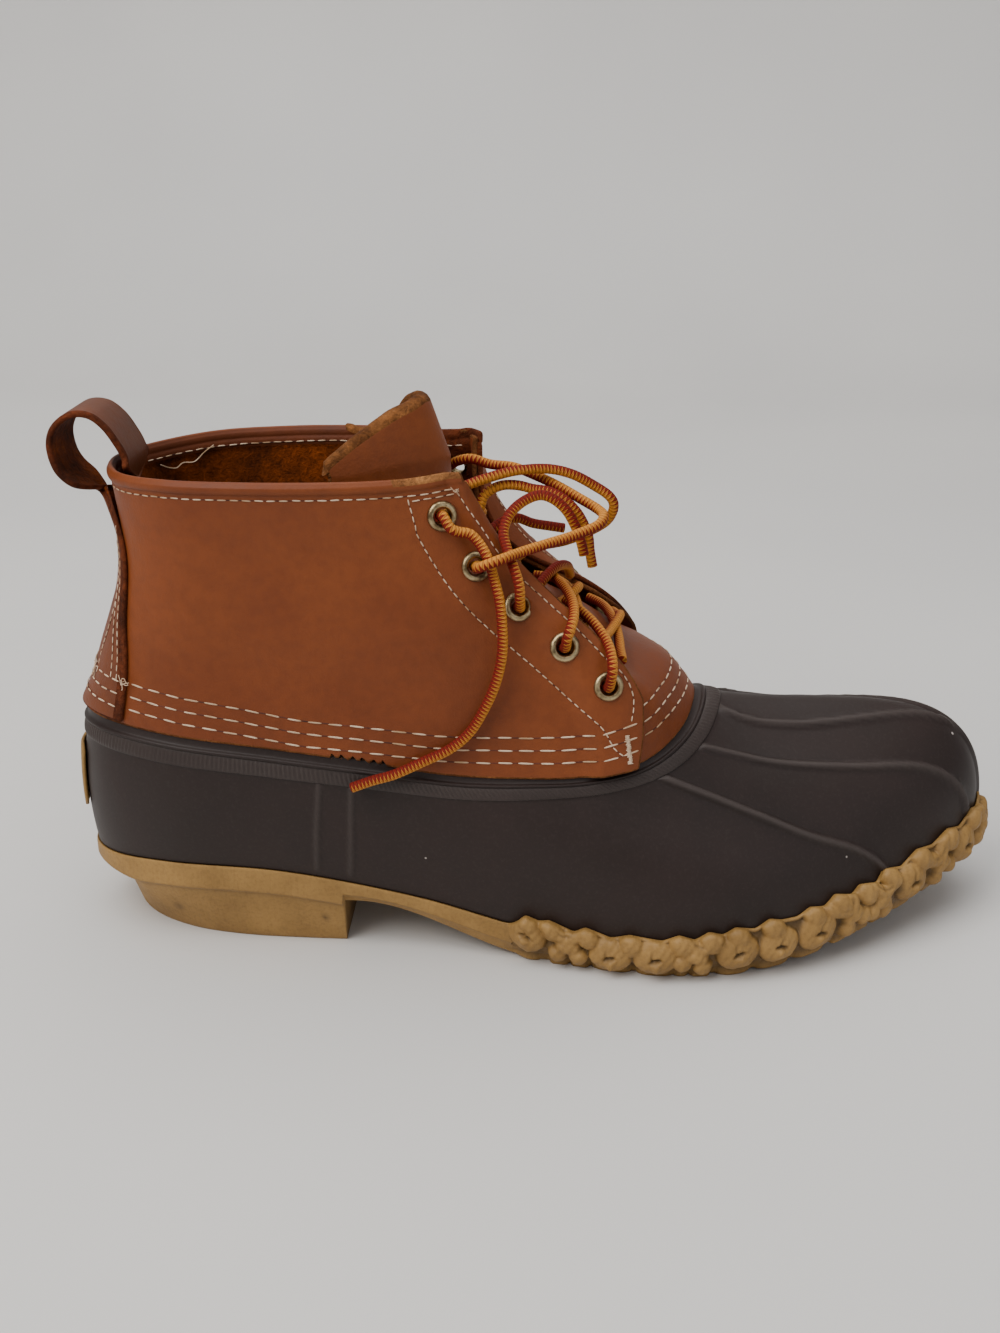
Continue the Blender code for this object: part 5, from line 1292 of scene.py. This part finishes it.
def tangle(name, centre, normal, size, count, wide=0.32 * mm):
    across = unit(np.cross(normal, (0, 0, 1)))
    up = np.cross(across, normal)
    for number in range(count):
        walk = np.cumsum(chance.normal(0, 0.42, (7, 2)), axis=0)
        walk -= walk.mean(axis=0)
        points = centre + (walk[:, :1] * across + walk[:, 1:] * up) * size
        points = points + normal * chance.uniform(0.1, 0.9, (7, 1)) * mm
        looseThread(f"{name}{number + 1}", points, wide, paleThread)


def fuzz(name, line, way, count, length, mat):
    # short loose fibres standing off a cut edge
    at = chance.uniform(0, len(line) - 1.001, count)
    low = at.astype(int)
    start = line[low] + (line[low + 1] - line[low]) * (at - low)[:, None] + chance.normal(0, 0.3, (count, 3)) * mm
    aim = unit(np.broadcast_to(way, line.shape)[low] + chance.normal(0, 0.55, (count, 3)))
    end = start + aim * chance.uniform(0.35, 1.0, (count, 1)) * length
    layStitches(name, start, end, chance.normal(0, 1, (count, 3)), 0.15 * mm, 0.15 * mm, mat,
                loose=True)


# each kind of row: length of a dash, gap and thread width
rowKinds = {"lower": (4.4 * mm, 2.1 * mm, 0.62 * mm), "collar": (2.6 * mm, 1.1 * mm, 0.48 * mm),
            "second": (2.3 * mm, 1.0 * mm, 0.45 * mm), "eyestay": (1.8 * mm, 0.85 * mm, 0.44 * mm),
            "vamp": (3.6 * mm, 1.7 * mm, 0.6 * mm), "backLower": (3.4 * mm, 1.8 * mm, 0.6 * mm),
            "backstay": (2.0 * mm, 0.8 * mm, 0.46 * mm)}
rowStep = 4.3 * mm  # between the rows over the rubber
rowStations = np.array([0.0, 1.263, 2.337, 3.363, 4.538, 5.838, 7.288, 7.82])
rowShares = np.array([0.178, 0.173, 0.15, 0.122, 0.133, 0.135, 0.125, 0.128])
strapHalf = 1.44
for sideName, sign in (("Lateral", 1), ("Medial", -1)):
    for number in range(3):
        station = np.linspace(strapHalf, 7.85, 60)
        share = np.interp(station, rowStations, rowShares) - number * rowStep / lengthAt(shaftForm, station)
        line, normals = quarterLine(sign * station, share, smoothIt=False)
        sewRow(f"lowerRow{sideName}{number + 1}", line, normals, *rowKinds["lower"])
    # the collar's row, 4 mm under its top, doubled over the eyestay
    station = np.linspace(0.75, 7.1, 80)
    share = 1 - 4.5 * mm / lengthAt(shaftForm, station)
    line, normals = quarterLine(sign * station, share, smoothIt=False)
    sewRow(f"collarRow{sideName}", line, normals, *rowKinds["collar"])
    inside = line - normals * (leather["thick"] + 0.95 * mm)
    sewRow(f"collarInside{sideName}", inside, -normals, *rowKinds["collar"])
    station = np.linspace(5.86, 7.1, 20)
    line, normals = quarterLine(sign * station, 1 - 6.1 * mm / lengthAt(shaftForm, station), smoothIt=False)
    sewRow(f"collarSecond{sideName}", line, normals, *rowKinds["second"])
    # a bar tack closes the eyestay's foot: a close zigzag
    ends = np.linspace(0, 1, 34)
    zig = np.where(np.arange(34) % 2 == 0, -0.035, 0.035) + chance.normal(0, 0.008, 34)
    line, normals = quarterLine(sign * (7.635 + 0.06 * ends + zig), 0.105 - 0.085 * ends, lift=0.2 * mm,
                                smoothIt=False)
    layStitches(f"barTack{sideName}", line[:-1], line[1:], normals, 0.42 * mm, 0.35 * mm, paleThread)
    # the eyestay's rear and front rows
    rear = np.array([(5.825, 0.950), (5.79, 0.86), (5.775, 0.812), (6.062, 0.608), (6.588, 0.408), (7.0, 0.24),
                     (7.3, 0.147), (7.438, 0.08), (7.60, 0.045)])
    front = np.array([(7.125, 0.955), (7.338, 0.82), (7.40, 0.715), (7.562, 0.555), (7.713, 0.335), (7.83, 0.27),
                      (7.85, 0.203), (7.725, 0.135)])
    for label, rows in (("Rear", rear), ("Front", front)):
        line, normals = quarterLine(sign * rows[:, 0], rows[:, 1])
        sewRow(f"eyestay{label}{sideName}", line, normals, *rowKinds["eyestay"])
# rows across the vamp's front
for number in range(3):
    station = np.linspace(7.97, 12.03, 90)
    share = 0.15 - 0.035 * np.exp(-((station - 10) / 1.0) ** 2) - number * rowStep / lengthAt(shaftForm, station)
    part = (station - 10) / tongueSpread(share)
    line = tonguePlace(share, part, leather["proud"] + 0.12 * mm)
    normals = unit(tonguePlace(share, part, leather["proud"] + 1.12 * mm) - line)
    sewRow(f"vampRow{number + 1}", line, normals, *rowKinds["vamp"])
# rows across and down the backstay, two by its cut edge and one further in
for number in range(3):
    station = np.linspace(-1.36, 1.36, 60)
    share = np.interp(np.abs(station), rowStations, rowShares) - number * rowStep / lengthAt(shaftForm, station)
    line, normals = strapLine(station, share)
    sewRow(f"backstayLower{number + 1}", line, normals, *rowKinds["backLower"])
backHalf = np.array(backShares)
for sideName, sign in (("Lateral", 1), ("Medial", -1)):
    share = np.linspace(0.80, 0.17, 60)
    half = np.interp(share, backHalf[:, 0], backHalf[:, 1])
    for number, inset in enumerate((0.10, 0.21)):
        line, normals = strapLine(sign * (half - inset), share)
        sewRow(f"backstayRow{sideName}{number + 1}", line[6 * number:], normals[6 * number:], *rowKinds["backstay"])
    share = np.linspace(0.56, 0.15, 40)
    line, normals = strapLine(sign * np.interp(share, [0.15, 0.24, 0.36, 0.47, 0.56],
                                               [0.725, 0.713, 0.875, 0.975, 1.0]), share)
    sewRow(f"backstayRow{sideName}3", line, normals, *rowKinds["backstay"])
print("rows sewn")

# Loose thread ends and the fibres of the cut edges
for name, station, share, size, count in (("heelThread", 0.62, 0.185, 3.2 * mm, 4),
                                          ("heelThreadFront", 1.42, 0.175, 2.6 * mm, 3)):
    line, normals = strapLine(np.array([station]), np.array([share]), 0.2 * mm)
    tangle(name, line[0], normals[0], size, count)
line, normals = quarterLine(np.array([7.13]), 1 - np.array([5.0]) * mm / lengthAt(shaftForm, 7.13), smoothIt=False)
tangle("cornerThread", line[0], normals[0], 1.5 * mm, 3, 0.28 * mm)
tail = [(-1.9, 0.955), (-1.75, 0.93), (-1.6, 0.90), (-1.42, 0.905), (-1.3, 0.89), (-1.15, 0.90), (-1.0, 0.92)]
tail = surfaceAt(shaftForm, [s for s, v in tail], [v for s, v in tail],
                 leather["proud"] - leather["thick"] - 1.6 * mm)
looseThread("collarThreadTail", tail, 0.42 * mm, paleThread)
fuzz("tongueFuzz", tongueTop, (-0.35, 0, 1), 420, 1.6 * mm, paleEdge)
for side, column in ((-1, 0), (1, -1)):
    label = "Near" if side < 0 else "Far"
    edge = (strapOuter[:, column] + strapInner[:, column]) / 2
    near = np.sign((edge - strapOuter[:, 16])[:, 1:2]) * (0, 1, 0)
    fuzz(f"strapFuzz{label}", edge, near, 420, 1.2 * mm, darkEdgeAndShade)
for side in (-1, 1):
    label = "Lateral" if side > 0 else "Medial"
    station = np.linspace(5.9, 7.4, 40) * side
    fuzz(f"collarFuzz{label}", surfaceAt(shaftForm, station, 1.0, leather["proud"] - 0.9 * mm), (0, 0, 1), 160,
         0.9 * mm, paleEdge)
    station = np.linspace(1.5, 7.7, 200) * side
    fuzz(f"lowerFuzz{label}", surfaceAt(shaftForm, station, 0.004, leather["proud"] - 0.7 * mm),
         (0, -0.2 * side, -0.7), 260, 0.9 * mm, rawEdge)
print("threads and fibres laid")


# Stage: pale floor that turns up into a wall well behind the boot, and soft studio light
stageSize = {"side": 6.0, "depth": 4.0, "turn": 1.3, "rise": 2.0, "round": 0.4}
bpy.ops.object.select_all(action="DESELECT")
bpy.ops.mesh.primitive_plane_add(size=1, location=(0.1, 0, 0))
floor = bpy.context.object
floor.name = "paleFloor"
bpy.ops.object.mode_set(mode="EDIT")
bpy.ops.mesh.select_all(action="SELECT")
bpy.ops.transform.resize(value=(stageSize["side"], stageSize["depth"], 1))
bpy.ops.transform.translate(value=(0, stageSize["turn"] - stageSize["depth"] / 2, 0))
bpy.ops.mesh.select_all(action="DESELECT")
bpy.ops.object.mode_set(mode="OBJECT")
for edge in floor.data.edges:
    edge.select = all(floor.data.vertices[v].co.y > stageSize["turn"] - 0.01 for v in edge.vertices)
for vertex in floor.data.vertices:
    vertex.select = vertex.co.y > stageSize["turn"] - 0.01
bpy.ops.object.mode_set(mode="EDIT")
bpy.ops.mesh.select_mode(type="EDGE")
bpy.ops.mesh.extrude_edges_move(TRANSFORM_OT_translate={"value": (0, 0, stageSize["rise"])})
bpy.ops.object.mode_set(mode="OBJECT")
bend = floor.modifiers.new("bend", "BEVEL")
bend.width, bend.segments = stageSize["round"], 16
bpy.ops.object.modifier_apply(modifier="bend")
bpy.ops.object.shade_smooth()
bpy.ops.object.transform_apply(location=True)
paint, paintShader = newMaterial("paintedPaleBoard")
paintAt = addNode(paint, "TexCoord")["Object"]
cloud = addNode(paint, "TexNoise", {"Scale": 3.0, "Detail": 2.0}, {"Vector": paintAt})
paintTone = addNode(paint, "ValToRGB", {"ramp": [(0.3, colour("#CFCDCB")), (0.7, colour("#D6D4D1"))]},
                    {"Fac": cloud["Fac"]})
joinTo(paint, paintTone["Color"], paintShader.inputs["Base Color"])
paintShader.inputs["Roughness"].default_value = 0.55
floor.data.materials.append(paint)

lamps = {
    "keyLamp": {"place": (-0.75, -0.75, 1.2), "aim": (0.09, 0, 0.06), "size": 1.2, "power": 21,
                "tint": (1.0, 0.97, 0.93)},
    "topLamp": {"place": (0.05, 0.1, 1.8), "aim": (0.09, 0.2, 0.0), "size": 2.2, "power": 26,
                "tint": (1.0, 0.99, 0.97)},
    "fillLamp": {"place": (1.1, -0.9, 0.7), "aim": (0.1, 0, 0.05), "size": 1.2, "power": 3,
                 "tint": (0.97, 0.98, 1.0)},
}
for name, lamp in lamps.items():
    bpy.ops.object.light_add(type="AREA", location=lamp["place"])
    light = bpy.context.object
    light.name = name
    light.data.shape, light.data.size = "DISK", lamp["size"]
    light.data.energy, light.data.color = lamp["power"], lamp["tint"]
    light.rotation_euler = (Vector(lamp["aim"]) - Vector(lamp["place"])).to_track_quat("-Z", "Y").to_euler()
world = bpy.data.worlds.new("softRoom")
bpy.context.scene.world = world
world.use_nodes = True
world.node_tree.nodes["Background"].inputs["Color"].default_value = (0.80, 0.82, 0.86, 1)
world.node_tree.nodes["Background"].inputs["Strength"].default_value = 0.35
print("stage lit")
